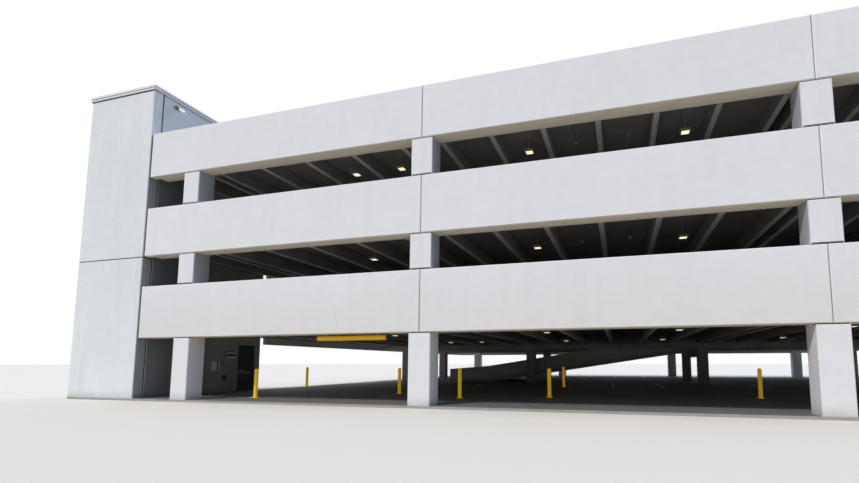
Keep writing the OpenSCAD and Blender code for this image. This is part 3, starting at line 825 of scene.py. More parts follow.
class Shape:
    """Gathers the faces of one piece."""

    sharp_angle: float = 32.0

    def __init__(self) -> None:
        """Starts with no faces."""
        self.mesh = bmesh.new()

    def block(self, xs: Flat, ys: Flat, zs: Flat, edge: float = 0.0) -> None:
        """Adds a block.

        Args:
            xs: Its ends along X.
            ys: Its ends along Y.
            zs: Its foot and its top.
            edge: The width of its rounded edges.
        """
        middle = [(low + high) / 2 for low, high in (xs, ys, zs)]
        size = [high - low for low, high in (xs, ys, zs)]
        matrix = Matrix.Translation(middle) @ Matrix.Diagonal((*size, 1.0))
        made = bmesh.ops.create_cube(self.mesh, size=1.0, matrix=matrix)
        if edge > 0:
            edges = list(dict.fromkeys(e for v in made["verts"] for e in v.link_edges))
            bmesh.ops.bevel(
                self.mesh, geom=edges, offset=edge, segments=2, affect="EDGES", profile=0.5
            )

    def block_at(self, base: Point, reach: Sequence[Flat], edge: float = 0.0) -> None:
        """Adds a block that reaches so far from a base along X, Y and Z."""
        self.block(*((at + low, at + high) for at, (low, high) in zip(base, reach)), edge)

    def prism(self, outline: Sequence[Flat], axis: Axis, span: Flat) -> None:
        """Draws an outline, which lies across an axis, out along it from end to end of a span."""
        self.loft([[axis.point(point, along) for point in outline] for along in span])

    def turned(self, profile: Sequence[Flat], centre: Point, axis: Axis, steps: int = 24) -> None:
        """Turns a profile about an axis.

        Args:
            profile: Radius and distance along the axis, from one end to the other.
            centre: The point on the axis that the distances start from.
            axis: The axis.
            steps: The number of steps in a full turn.
        """
        turns = [math.tau * k / steps for k in range(steps)]
        rings = []
        for radius, along in profile:
            ring = [axis.point((radius * math.cos(t), radius * math.sin(t)), along) for t in turns]
            rings.append([[a + b for a, b in zip(point, centre)] for point in ring])
        self.loft(rings)

    def loft(self, rings: Sequence[Sequence[Point]]) -> None:
        """Joins rings of points one to the next, and closes both ends.

        Args:
            rings: The rings, all with as many points.
        """
        made = [[self.mesh.verts.new(point) for point in ring] for ring in rings]
        for one, other in zip(made, made[1:]):
            for k in range(len(one)):
                self.mesh.faces.new((one[k - 1], one[k], other[k], other[k - 1]))
        self.mesh.faces.new(made[0][::-1])
        self.mesh.faces.new(made[-1])

    def piece(self, name: str, finish: Finish, body: Body = Body.BUILDING) -> None:
        """Makes the object, dresses it, and lets it ride on its body.

        Args:
            name: The piece's name.
            finish: Its finish.
            body: The body that it rides on.
        """
        bmesh.ops.recalc_face_normals(self.mesh, faces=self.mesh.faces)
        data = bpy.data.meshes.new(name)
        self.mesh.to_mesh(data)
        self.mesh.free()
        data.shade_smooth()
        data.set_sharp_from_angle(angle=math.radians(self.sharp_angle))
        data.materials.append(finish.material())
        made = link(name, data)
        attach(made, body.value)
        log.info("piece %s: %d faces, on %s", name, len(data.polygons), body.value)


# The building's lines


class Corner(NamedTuple):
    """A corner of a solid's box."""

    x: float
    y: float
    z: float


def corners(node: str) -> tuple[Corner, Corner]:
    """Gives a solid's lowest and highest corner, to a tenth of a millimetre."""
    low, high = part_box(node)
    return Corner(*(round(v, 4) for v in low)), Corner(*(round(v, 4) for v in high))


@dataclass(frozen=True)
class Plan:
    """The lines and levels that the fittings keep to.

    Most are read from the solids' boxes. Those with a value here are sizes that no box shows.
    """

    column_xs: tuple[float, ...]
    panel_xs: Flat
    panel_t: float
    face_y: float
    column_face_y: float
    line_b: float
    line_c: float
    line_d: float
    bands: list[Flat]
    decks: list[float]
    ground_z: float
    tee_h: float
    tower_xs: Flat
    tower_ys: Flat
    tower_joint: Flat
    tower_top: float
    doorway: Flat
    door_h: float
    joint: float = 0.02
    column_w: float = 0.735
    column_gap: float = 0.03
    inner_column: float = 0.6
    girder_t: float = 0.35
    flange_t: float = 0.09
    stem_off: float = 0.265
    left_stem: float = 1.21
    edge_stem: float = 0.3
    tower_groove: float = 0.04

    @classmethod
    def read(cls) -> Plan:
        """Reads the lines and levels from the solids' boxes.

        Returns:
            The plan.
        """
        levels = ("level_2", "level_3", "roof")
        panels = [corners(f"front_panels_{level}") for level in levels]
        floors = [corners(f"front_floor_{level}") for level in levels]
        first, last = corners("front_columns")
        inner = corners("middle_columns")
        wall, left_wall = corners("tower_front_wall"), corners("tower_left_wall")
        opening = corners("tower_door_frame")
        bay = (last.x - cls.column_w / 2) / 2
        left_x, face_y = panels[0][0].x, panels[0][0].y
        return cls(
            column_xs=(first.x + cls.column_w / 2, 0.0, bay, 2 * bay),
            panel_xs=(left_x, panels[0][1].x),
            panel_t=corners("left_side_panels")[1].x - left_x,
            face_y=face_y,
            column_face_y=first.y,
            line_b=inner[0].y + cls.inner_column / 2,
            line_c=inner[1].y - cls.inner_column / 2,
            line_d=corners("rear_columns")[1].y + first.y,
            bands=[(low.z, high.z) for low, high in panels],
            decks=[high.z for _, high in floors],
            ground_z=corners("ground_slab")[1].z,
            tee_h=floors[0][1].z - floors[0][0].z,
            tower_xs=(wall[0].x, wall[1].x),
            tower_ys=(face_y, corners("tower_back_wall")[1].y),
            tower_joint=(wall[1].y, left_wall[0].y),
            tower_top=wall[1].z,
            doorway=(opening[0].y, opening[1].y),
            door_h=opening[1].z - opening[0].z,
        )

    @property
    def stems(self) -> list[float]:
        """Gives the lines of the floor units' stems, from the left.

        Returns:
            Their places along the front.
        """
        left, _, bay, right = self.column_xs
        off, edge = self.stem_off, self.panel_t + self.edge_stem
        return [
            self.panel_xs[0] + edge, left - off, *even(left + off, -self.left_stem, 5),
            *even(off, bay - off, 7), *even(bay + off, right - off, 7), self.panel_xs[1] - edge,
        ]

    @property
    def tee_joints(self) -> list[float]:
        """Gives the joints between the floor units, each of which has two stems."""
        return [self.between(k) for k in range(1, len(self.stems) - 1, 2)]

    def between(self, k: int) -> float:
        """Gives the line midway between a stem and the next one."""
        return (self.stems[k] + self.stems[k + 1]) / 2

    def rear(self, y: float) -> float:
        """Gives the place at the rear that mirrors one at the front."""
        return self.line_d - y

    def by_column(self, x: float, reach: float) -> bool:
        """Tells whether a line runs within a distance of a front column's middle."""
        return any(abs(x - column) < reach for column in self.column_xs)


# Sub-assemblies


@dataclass
class Assembly:
    """A sub-assembly, which stands by the building's lines."""

    plan: Plan

    def build(self) -> None:
        """Builds its pieces."""
        raise NotImplementedError


@dataclass
class FacadeSeals(Assembly):
    """Sealant and rubber in the joints of the panels, the tower and the columns."""

    recess: float = 0.03
    depth: float = 0.03
    hollow: tuple[Flat, ...] = ((-1.0, 0.0), (-0.5, 0.2), (0.0, 0.25), (0.5, 0.2), (1.0, 0.0))
    groove_fill: float = 0.6
    fold_front: tuple[float, ...] = (0.06, 0.10, 0.07, 0.10, 0.06)
    fold_back: tuple[float, ...] = (0.11, 0.14, 0.12, 0.14, 0.11)
    strip_in: Flat = (0.03, 0.055)
    strip_short: float = 0.03
    painted_shadow_lip: tuple[Flat, Flat] = ((-0.003, 0.003), (-0.001, 0.022))

    def build(self) -> None:
        """Builds the beads, the tower's groove strip and bellows, and the columns' strips."""
        self.panels()
        self.tower()
        self.bellows()
        self.column_gaps()

    def bead(
        self, shape: Shape, across: Axis, joint: Flat, face: float, inward: int, zs: Flat
    ) -> None:
        """Adds an upright bead with a hollow front.

        Args:
            shape: The shape that takes it.
            across: The axis that the joint's width lies along.
            joint: The joint's two sides.
            face: The face that the joint is in.
            inward: 1 where inward is towards larger values, else -1.
            zs: Its foot and its top.
        """
        low, high = joint
        width, back = high - low, self.recess + self.depth
        points = [(a * width / 2, self.recess + d * width) for a, d in self.hollow]
        points += [(width / 2, back), (-width / 2, back)]
        outline = [((low + high) / 2 + a, face + inward * d) for a, d in points]
        if across is Axis.Y:
            outline = [(a, b) for b, a in outline]
        shape.prism(outline, Axis.Z, zs)

    def panels(self) -> None:
        """Builds the beads between the panels of the front, the rear and the two sides."""
        plan = self.plan
        half = plan.joint / 2
        rows, sides = Shape(), Shape()
        for zs in plan.bands:
            for x in plan.column_xs[1:3]:
                for face, inward in ((plan.face_y, 1), (plan.rear(plan.face_y), -1)):
                    self.bead(rows, Axis.X, (x - half, x + half), face, inward, zs)
            for y in (plan.line_b, plan.line_c):
                for face, inward in zip(plan.panel_xs, (1, -1)):
                    self.bead(sides, Axis.Y, (y - half, y + half), face, inward, zs)
        rows.piece("panel_joint_sealant", SEALANT)
        sides.piece("side_joint_sealant", SEALANT)

    def tower(self) -> None:
        """Builds the beads behind the front wall's returns, and the strip in its groove."""
        plan = self.plan
        beads, strip = Shape(), Shape()
        for face, inward in zip(plan.tower_xs, (1, -1)):
            zs = (plan.ground_z, plan.tower_top)
            self.bead(beads, Axis.Y, plan.tower_joint, face, inward, zs)
        beads.piece("tower_joint_sealant", RUBBER)
        deep = plan.tower_groove
        shown = deep * (1 - self.groove_fill)
        foot = plan.bands[1][0]
        zs = (foot - deep, foot)
        x0, x1 = plan.tower_xs
        turn, end = plan.face_y + deep, plan.tower_joint[0]
        strip.block((x0 + shown, x1 - shown), (plan.face_y + shown, turn), zs, edge=0.002)
        strip.block((x0 + shown, x0 + deep), (turn, end), zs, edge=0.002)
        strip.block((x1 - deep, x1 - shown), (turn, end), zs, edge=0.002)
        strip.piece("tower_groove_strip", RUBBER)

    def bellows(self) -> None:
        """Builds the folded rubber that closes the gap between the tower and the panels."""
        plan = self.plan
        gap = Shape()
        xs = even(plan.tower_xs[1], plan.panel_xs[0], len(self.fold_front))
        outline = list(zip(xs, self.fold_front)) + list(zip(xs, self.fold_back))[::-1]
        for zs in plan.bands:
            gap.prism(moved(outline, 0.0, plan.face_y), Axis.Z, zs)
        gap.piece("tower_gap_bellows", RUBBER)

    def column_gaps(self) -> None:
        """Builds the black rubber strips that the panels bear on, set back in the columns' shadow
        gaps, whose black also stands for the gaps' shade, and a thin black strip on each column's
        face above the upper gap as a painted shadow.
        """
        plan = self.plan
        strips = Shape()
        half = plan.column_w / 2 - self.strip_short
        near, far = (plan.column_face_y + set_in for set_in in self.strip_in)
        for x in plan.column_xs:
            xs = (x - half, x + half)
            for foot, top in plan.bands:
                ledge = top + plan.column_gap
                capped = top < plan.decks[-1]
                gaps = [(foot - plan.column_gap, foot), (top, ledge)]
                for zs in gaps if capped else gaps[:1]:
                    strips.block(xs, (near, far), zs, edge=0.003)
                    strips.block(xs, (plan.rear(far), plan.rear(near)), zs, edge=0.003)
                # painted shadow: a thin black strip on the column's face that widens the gap's dark
                # line
                if capped:
                    for face in (plan.column_face_y, plan.rear(plan.column_face_y)):
                        strips.block_at((x, face, ledge), ((-half, half), *self.painted_shadow_lip), edge=0.001)
        strips.piece("column_gap_strips", RUBBER)


@dataclass
class DeckSeals(Assembly):
    """Sealant between the floor units."""

    thickness: float = 0.03
    sunk: float = 0.004
    column_reach: float = 0.4
    column_clear: float = 0.5

    def strip(self, shape: Shape, x: float, top: float, ys: Flat) -> None:
        """Adds a strip with a slightly hollow top.

        Args:
            shape: The shape that takes it.
            x: The joint's middle line.
            top: The deck's height.
            ys: Its ends.
        """
        half, foot = self.plan.joint / 2, -self.thickness
        outline = [(-half, 0.0), (0.0, -self.sunk), (half, 0.0), (half, foot), (-half, foot)]
        shape.prism(moved(outline, x, top - self.sunk), Axis.Y, ys)

    def build(self) -> None:
        """Builds the strips of each level, clear of the columns, the girders and the ramp."""
        plan = self.plan
        web = plan.girder_t / 2 + plan.joint
        for level, top in enumerate(plan.decks):
            shape = Shape()
            for x in plan.tee_joints:
                start = plan.face_y + plan.panel_t + plan.joint
                if plan.by_column(x, self.column_reach):
                    start += self.column_clear
                self.strip(shape, x, top, (start, plan.line_b - web))
                self.strip(shape, x, top, (plan.line_c + web, plan.rear(start)))
                if x in (plan.tee_joints[0], plan.tee_joints[-1]):
                    self.strip(shape, x, top, (plan.line_b + web, plan.line_c - web))
            shape.piece(f"deck_joint_sealant_level_{level + 2}", SEALANT)


@dataclass
class BayLines(Assembly):
    """Painted bay lines on the decks, away from the ways in and the ramp."""

    bay_w: float = 2.62
    bay_l: float = 5.0
    span: Flat = (-10.2, 23.2)
    line: tuple[Flat, Flat] = ((-0.05, 0.05), (-0.001, 0.0015))
    column_clear: float = 0.45
    girder_clear: float = 0.3
    rear_clear: float = 0.1
    front_row: float = 0.5

    def row(self, shape: Shape, start: float, z: float) -> None:
        """Adds the lines of one row of bays.

        Args:
            shape: The shape that takes them.
            start: The end of the bays nearer to the front.
            z: The deck's height.
        """
        across, up = self.line
        for k in range(int((self.span[1] - self.span[0]) / self.bay_w) + 1):
            x = self.span[0] + k * self.bay_w
            if not self.plan.by_column(x, self.column_clear):
                shape.block_at((x, start, z), (across, (0.0, self.bay_l), up))

    def build(self) -> None:
        """Builds the rows of each level. The ground floor's front row is left to the ways in."""
        plan = self.plan
        middle_row = plan.line_b - plan.girder_t / 2 - self.girder_clear - self.bay_l
        rear_row = plan.rear(plan.face_y) - plan.panel_t - self.rear_clear - self.bay_l
        for level, z in enumerate((plan.ground_z, *plan.decks)):
            shape = Shape()
            for start in (middle_row, rear_row, self.front_row)[: 2 if level == 0 else 3]:
                self.row(shape, start, z)
            shape.piece(f"bay_lines_level_{level + 1}", LINES)


@dataclass
class CeilingFittings(Assembly):
    """What the ceiling lights and the round heads have beside their casings."""

    light_slots: tuple[int, ...] = (4, 5, 8, 11, 15, 18)
    head_slots: tuple[int, ...] = (9, 10, 16, 17)
    shift: float = 0.13
    first_rows: tuple[float, ...] = (5.8, 3.8, 2.3)
    pitch: float = 7.2
    rear_rows: Flat = (27.8, 33.0)
    lens_w: float = 0.24
    casing_w: float = 0.322
    casing_up: float = 0.04
    rim_zs: Flat = (-0.014, 0.001)
    pan_steps: tuple[Flat, ...] = ((1.0, 0.0), (1.0, 0.008), (0.86, 0.020), (0.6, 0.026))
    plate: tuple[Flat, ...] = ((0.055, -0.012), (0.07, -0.004), (0.07, 0.0))

    def build(self) -> None:
        """Builds the lenses, their rims and the plates at the ceiling."""
        plan = self.plan
        heads = [plan.between(slot) + self.shift / 2 for slot in self.head_slots]
        lights = [plan.between(slot) + self.shift for slot in self.light_slots]
        lenses, rims, plates = Shape(), Shape(), Shape()
        for first_row, deck in zip(self.first_rows, plan.decks):
            ceiling = deck - plan.flange_t
            rows = (first_row, first_row + self.pitch)
            for x in lights:
                for y in (*rows, *self.rear_rows):
                    self.lens(lenses, rims, (x, y, deck - plan.tee_h + self.casing_up))
                    plates.turned(self.plate, (x, y, ceiling), Axis.Z, steps=16)
            for x in heads:
                for y in rows:
                    plates.turned(self.plate, (x, y, ceiling), Axis.Z, steps=16)
        lenses.piece("ceiling_light_lenses", LENS)
        rims.piece("ceiling_light_rims", SHADED_CASING)
        plates.piece("ceiling_light_rod_plates", STEEL)

    def lens(self, lenses: Shape, rims: Shape, at: Point) -> None:
        """Adds a shallow pan that bulges down from a casing, and the rim round it.

        Args:
            lenses: The shape that takes the pan.
            rims: The shape that takes the rim.
            at: The middle of the casing's underside.
        """
        x, y, z = at
        half = self.lens_w / 2
        xs, ys = (x - half, x + half), (y - half, y + half)
        for strip in border(xs, ys, (self.casing_w - self.lens_w) / 2):
            rims.block(*strip, (z + self.rim_zs[0], z + self.rim_zs[1]), edge=0.004)
        square = ((-half, -half), (half, -half), (half, half), (-half, half))
        lenses.loft([
            [(x + a * share, y + b * share, z - down) for a, b in square]
            for share, down in self.pan_steps
        ])


@dataclass
class DoorTrim(Assembly):
    """What the tower's doors have beside their leaves, frames and levers."""

    leaf_t: float = 0.045
    lock_at: Flat = (0.13, 1.10)
    lock: tuple[Flat, ...] = (
        (0.022, -0.001), (0.022, 0.006), (0.019, 0.009), (0.011, 0.009), (0.011, 0.013),
    )
    keyway: tuple[Flat, ...] = ((0.012, 0.0135), (-0.001, 0.001), (-0.006, 0.006))
    sweep_ends: Flat = (0.07, -0.0725)
    sweep: tuple[Flat, Flat] = ((-0.004, 0.001), (0.006, 0.045))
    rail_ends: Flat = (-0.05, 0.05)
    rail: tuple[Flat, ...] = (
        (-0.001, 0.045), (0.004, 0.045), (0.007, 0.018), (0.035, 0.006), (0.034, 0.002),
        (-0.001, 0.012),
    )
    sill_ends: Flat = (0.056, -0.056)
    sill: tuple[Flat, ...] = (
        (-0.13, 0.0), (0.0, 0.0), (-0.006, 0.004), (-0.045, 0.005), (-0.085, 0.005),
        (-0.124, 0.003),
    )
    seal_xs: Flat = (-0.009, -0.002)
    seal_w: Flat = (0.055, 0.068)
    seal_ends: Flat = (0.01, -0.06)
    seal_top: Flat = (-0.068, -0.056)

    def across(self, ends: Flat) -> Flat:
        """Gives the ends along Y of what reaches so far past the doorway's two sides."""
        return tuple(side + end for side, end in zip(self.plan.doorway, ends))

    def leaf_pieces(self, floors: Sequence[float], label: str, body: Body) -> None:
        """Builds lock cylinders and sweeps, which turn with the leaf.

        Args:
            floors: The floors that the doors stand on.
            label: What the pieces' names start with.
            body: The body that they ride on.
        """
        face = self.plan.tower_xs[1]
        locks, sweeps = Shape(), Shape()
        for floor in floors:
            at = (face, self.plan.doorway[0] + self.lock_at[0], floor + self.lock_at[1])
            locks.turned(self.lock, at, Axis.X)
            locks.block_at(at, self.keyway)
            xs, zs = self.sweep
            inner = (face - self.leaf_t, 0.0, floor)
            sweeps.block_at(inner, (xs, self.across(self.sweep_ends), zs), edge=0.001)
        locks.piece(f"{label}_locks", STEEL, body)
        sweeps.piece(f"{label}_sweeps", RUBBER, body)

    def frame_pieces(self, floors: Sequence[float], label: str) -> None:
        """Builds drip rails, thresholds and rubber seals, which stay with the wall.

        Args:
            floors: The floors that the doors stand on.
            label: What the pieces' names start with.
        """
        face = self.plan.tower_xs[1]
        near, far = self.seal_w
        rails, sills, seals = Shape(), Shape(), Shape()
        for floor in floors:
            top = floor + self.plan.door_h
            rails.prism(moved(self.rail, face, top), Axis.Y, self.across(self.rail_ends))
            sills.prism(moved(self.sill, face, floor), Axis.Y, self.across(self.sill_ends))
            behind = [face - self.leaf_t + x for x in self.seal_xs]
            upright = (floor + self.seal_ends[0], top + self.seal_ends[1])
            for side, ends in zip(self.plan.doorway, ((near, far), (-far, -near))):
                seals.block(behind, (side + ends[0], side + ends[1]), upright, edge=0.001)
            head = (top + self.seal_top[0], top + self.seal_top[1])
            seals.block(behind, self.across(self.sill_ends), head, edge=0.001)
        rails.piece(f"{label}_drip_rails", CAP)
        sills.piece(f"{label}_thresholds", STEEL)
        seals.piece(f"{label}_frame_seals", RUBBER)

    def build(self) -> None:
        """Builds the trim of the ground floor door and of the upper doors."""
        for floors, label, body in (
            ([self.plan.ground_z], "tower_door", Body.DOOR),
            (self.plan.decks, "upper_door", Body.BUILDING),
        ):
            self.leaf_pieces(floors, label, body)
            self.frame_pieces(floors, label)


@dataclass(frozen=True)
class WallBox:
    """A box beside the tower door: its gap to the doorway, width, foot, height and depth."""

    gap: float
    width: float
    foot: float
    height: float
    depth: float

    def ends(self, doorway: float) -> tuple[Flat, Flat]:
        """Gives its ends along Y and Z, beside a doorway that starts there."""
        side = doorway - self.gap
        return (side - self.width, side), (self.foot, self.foot + self.height)


PALE_BOX = WallBox(gap=1.20, width=0.28, foot=1.05, height=0.42, depth=0.06)
WINDOW_BOX = WallBox(gap=0.17, width=0.60, foot=1.68, height=0.22, depth=0.09)
DARK_BOX = WallBox(gap=0.70, width=0.14, foot=0.64, height=0.21, depth=0.08)


@dataclass(frozen=True)
class Cover:
    """A cover on a wall box: its back and front from the wall, and its rounded edges.

    Its two sides, and its foot and top, are given from those of the box.
    """

    box: WallBox
    faces: Flat
    sides: Flat
    ends: Flat
    edge: float

    def add(self, shape: Shape, wall: float, doorway: float) -> None:
        """Adds the cover to a shape.

        Args:
            shape: The shape.
            wall: The wall's face.
            doorway: The side of the doorway that the box stands by.
        """
        (y0, y1), (z0, z1) = self.box.ends(doorway)
        (left, right), (foot, top) = self.sides, self.ends
        xs = (wall + self.faces[0], wall + self.faces[1])
        shape.block(xs, (y0 + left, y1 + right), (z0 + foot, z1 + top), self.edge)


@dataclass
class WallFittings(Assembly):
    """Covers on the boxes beside the tower door, and the wall light's bracket, hood and lens."""

    pale_lid: Cover = Cover(PALE_BOX, (0.059, 0.068), (0.004, -0.01), (0.004, -0.004), 0.003)
    side_box: Cover = Cover(PALE_BOX, (0.0, 0.055), (0.335, 0.165), (-0.01, 0.01), 0.004)
    # painted shadow: a dark block nearly flush with the pale box, standing for the shade in the gap
    gap_shadow_block: Cover = Cover(PALE_BOX, (0.0, 0.058), (0.282, 0.055), (0.0, 0.0), 0.001)
    back_plate: Cover = Cover(WINDOW_BOX, (0.0, 0.012), (-0.01, 0.01), (-0.10, 0.045), 0.002)
    low_strip: Cover = Cover(WINDOW_BOX, (0.089, 0.099), (0.03, -0.03), (0.004, -0.175), 0.003)
    high_strip: Cover = Cover(WINDOW_BOX, (0.089, 0.099), (0.03, -0.03), (0.145, -0.004), 0.003)
    foot_strip: Cover = Cover(WINDOW_BOX, (0.011, 0.030), (0.02, -0.02), (-0.085, -0.24), 0.003)
    pane: Cover = Cover(WINDOW_BOX, (0.089, 0.095), (0.02, -0.02), (0.048, -0.078), 0.001)
    dark_lid: Cover = Cover(DARK_BOX, (0.0, 0.083), (-0.003, 0.003), (-0.003, 0.003), 0.004)
    screw_in: Flat = (0.045, 0.02)
    screw: tuple[Flat, ...] = ((0.006, 0.003), (0.006, 0.013), (0.0035, 0.0155))
    lamp_below: float = 0.25
    lamp_tilt: float = 35.0
    lamp_half: Flat = (0.154, 0.049)
    sleeves: tuple[Flat, Flat] = ((0.012, 0.085), (0.056, 0.064))
    bracket: float = 0.06
    hood_back: float = -0.004
    hood_x: float = 0.055
    hood_y: float = -0.105
    lens_end: tuple[Flat, ...] = ((0.195, 0.049), (0.209, 0.040), (0.216, 0.020))

    def build(self) -> None:
        """Builds what the boxes and the lamp have on them."""
        self.boxes()
        self.lamp()

    def boxes(self) -> None:
        """Builds the boxes' lids, the dark covers and plates, a dark block that is a painted shadow
        in the gap beside the pale box, and the screws.
        """
        wall, doorway = self.plan.tower_xs[1], self.plan.doorway[0]
        lids, darks, screws = Shape(), Shape(), Shape()
        strips = (self.low_strip, self.high_strip, self.foot_strip)
        for cover in (self.pale_lid, self.side_box, *strips):
            cover.add(lids, wall, doorway)
        for cover in (self.gap_shadow_block, self.back_plate, self.pane, self.dark_lid):
            cover.add(darks, wall, doorway)
        across, up = self.screw_in
        for box in (PALE_BOX, WINDOW_BOX, DARK_BOX):
            (y0, y1), (z0, z1) = box.ends(doorway)
            for y in (y0 + across, y1 - across):
                for z in (z0 + up, z1 - up):
                    screws.turned(self.screw, (wall + box.depth, y, z), Axis.X, steps=12)
        lids.piece("wall_box_lids", WALL_BOX)
        darks.piece("wall_box_dark_covers", DARK_COVER)
        screws.piece("wall_box_screws", STEEL)

    def lamp(self) -> None:
        """Builds the lamp's brown sleeve and hood, and the lens round the rest of it."""
        wall = self.plan.tower_xs[1]
        low, high = corners("tower_wall_light")
        y, z = (low.y + high.y) / 2, self.plan.tower_top - self.lamp_below
        sleeve, hood, lens = Shape(), Shape(), Shape()
        for reach, half in self.sleeves:
            around = (-half, half)
            sleeve.block_at((wall, y, z), ((0.0, reach), around, around), edge=0.004)
        side, tall = self.lamp_half
        end = [(a, -b) for a, b in self.lens_end] + list(self.lens_end[::-1])
        back, front = (((x, -tall), *end, (x, tall)) for x in (self.hood_back, self.hood_x))
        hood.prism(back, Axis.Y, (-side, self.hood_y))
        hood.block((self.hood_back, self.hood_x), (self.hood_y, side), (-tall, tall))
        lens.prism(front, Axis.Y, (self.hood_y, side))
        tilt = Matrix.Rotation(math.radians(self.lamp_tilt), 4, "Y")
        move = Matrix.Translation((wall + self.bracket, y, z)) @ tilt
        for shape in (hood, lens):
            bmesh.ops.transform(shape.mesh, matrix=move, verts=shape.mesh.verts)
        sleeve.piece("wall_light_bracket", BRONZE)
        hood.piece("wall_light_hood", BRONZE)
        lens.piece("wall_light_lens", WALL_LENS)


@dataclass
class CapTrim(Assembly):
    """The dark strips of painted shade in the groove and of painted shadow at the foot of the
    tower's cap, and its splice covers.
    """

    out: float = 0.04
    groove: Flat = (0.38, 0.52)
    groove_fill: float = 0.96
    foot_out: float = 0.5
    foot_drop: float = 0.026
    deck_side_drop: float = 0.006
    cover_xs: Flat = (1.15, 2.3)
    cover_ys: Flat = (2.0, 4.1)
    cover_half: float = 0.04
    cover_t: float = 0.004

    def build(self) -> None:
        """Builds the covers on the sides towards the decks and the rear, and both strips."""
        base, top = (corner.z for corner in corners("tower_cap"))
        groove = [base + (top - base) * share for share in self.groove]
        (x0, x1), (y0, y1) = self.plan.tower_xs, self.plan.tower_ys
        half, skin = (-self.cover_half, self.cover_half), (0.0, self.cover_t)
        covers = Shape()
        for foot, head in ((base, groove[0]), (groove[1], top)):
            zs = (0.0, head - foot)
            for x in self.cover_xs:
                covers.block_at((x0 + x, y1 + self.out, foot), (half, skin, zs), edge=0.001)
            for y in self.cover_ys:
                covers.block_at((x1 + self.out, y0 + y, foot), (skin, half, zs), edge=0.001)
        covers.piece("cap_splice_covers", CAP)
        self.ring("cap_groove_shade_strip", self.out * self.groove_fill, [groove[0]] * 4, groove[1])
        feet = [base - self.foot_drop] * 3 + [base - self.deck_side_drop]
        self.ring("cap_foot_shadow_strip", self.out * self.foot_out, feet, base)

    def ring(self, name: str, out: float, feet: Sequence[float], top: float) -> None:
        """Builds a dark strip of painted shade round the four sides of the wall.

        Args:
            name: The piece's name.
            out: How far it stands out from the wall.
            feet: Its foot at the front, the rear, the left and on the side of the decks.
            top: Its top.
        """
        shape = Shape()
        strips = border(self.plan.tower_xs, self.plan.tower_ys, out)
        for (xs, ys), foot in zip(strips, feet):
            shape.block(xs, ys, (foot, top), edge=0.002)
        shape.piece(name, CAP_SHADE)


@dataclass
class BollardTrim(Assembly):
    """The base plate with its bolts and the collar of mortar at the foot of each bollard."""

    places: tuple[Flat, ...] = (
        (-7.5, 1.2), (-10.85, 8.4), (-3.2, 4.6), (0.15, 2.95), (3.35, 4.1), (2.95, 12.0),
        (10.9, 5.6),
    )
    plate_half: float = 0.12
    plate_t: float = 0.012
    bolt_in: float = 0.028
    bolt: tuple[Flat, ...] = ((0.016, 0.012), (0.016, 0.024), (0.010, 0.027), (0.008, 0.036))
    collar: tuple[Flat, ...] = ((0.086, 0.011), (0.083, 0.020), (0.071, 0.030))

    def build(self) -> None:
        """Builds the plates, their bolts and the collars."""
        half, z = self.plate_half, self.plan.ground_z
        off = half - self.bolt_in
        collars, plates = Shape(), Shape()
        for x, y in self.places:
            reach = ((-half, half), (-half, half), (0.0, self.plate_t))
            plates.block_at((x, y, z), reach, edge=0.002)
            for a, b in ((-off, -off), (-off, off), (off, -off), (off, off)):
                plates.turned(self.bolt, (x + a, y + b, z), Axis.Z, steps=6)
            collars.turned(self.collar, (x, y, z), Axis.Z, steps=32)
        plates.piece("bollard_base_plates", YELLOW)
        collars.piece("bollard_collars", BOLLARD_PAINT)


@dataclass
class BarTrim(Assembly):
    """The domed caps on both ends of the clearance bar."""

    radius: float = 0.08
    cap: tuple[Flat, ...] = (
        (0.0825, -0.05), (0.0825, 0.002), (0.076, 0.010), (0.048, 0.017), (0.012, 0.020),
    )

    def build(self) -> None:
        """Builds the caps, which swing with the bar."""
        low, high = corners("clearance_bar")
        y, z = (low.y + high.y) / 2, low.z + self.radius
        caps = Shape()
        for x, sign in ((low.x, -1), (high.x, 1)):
            cap = [(r, sign * along) for r, along in self.cap]
            caps.turned(cap, (x, y, z), Axis.X, steps=40)
        caps.piece("clearance_bar_end_caps", RUBBER, Body.BAR)


# Studio


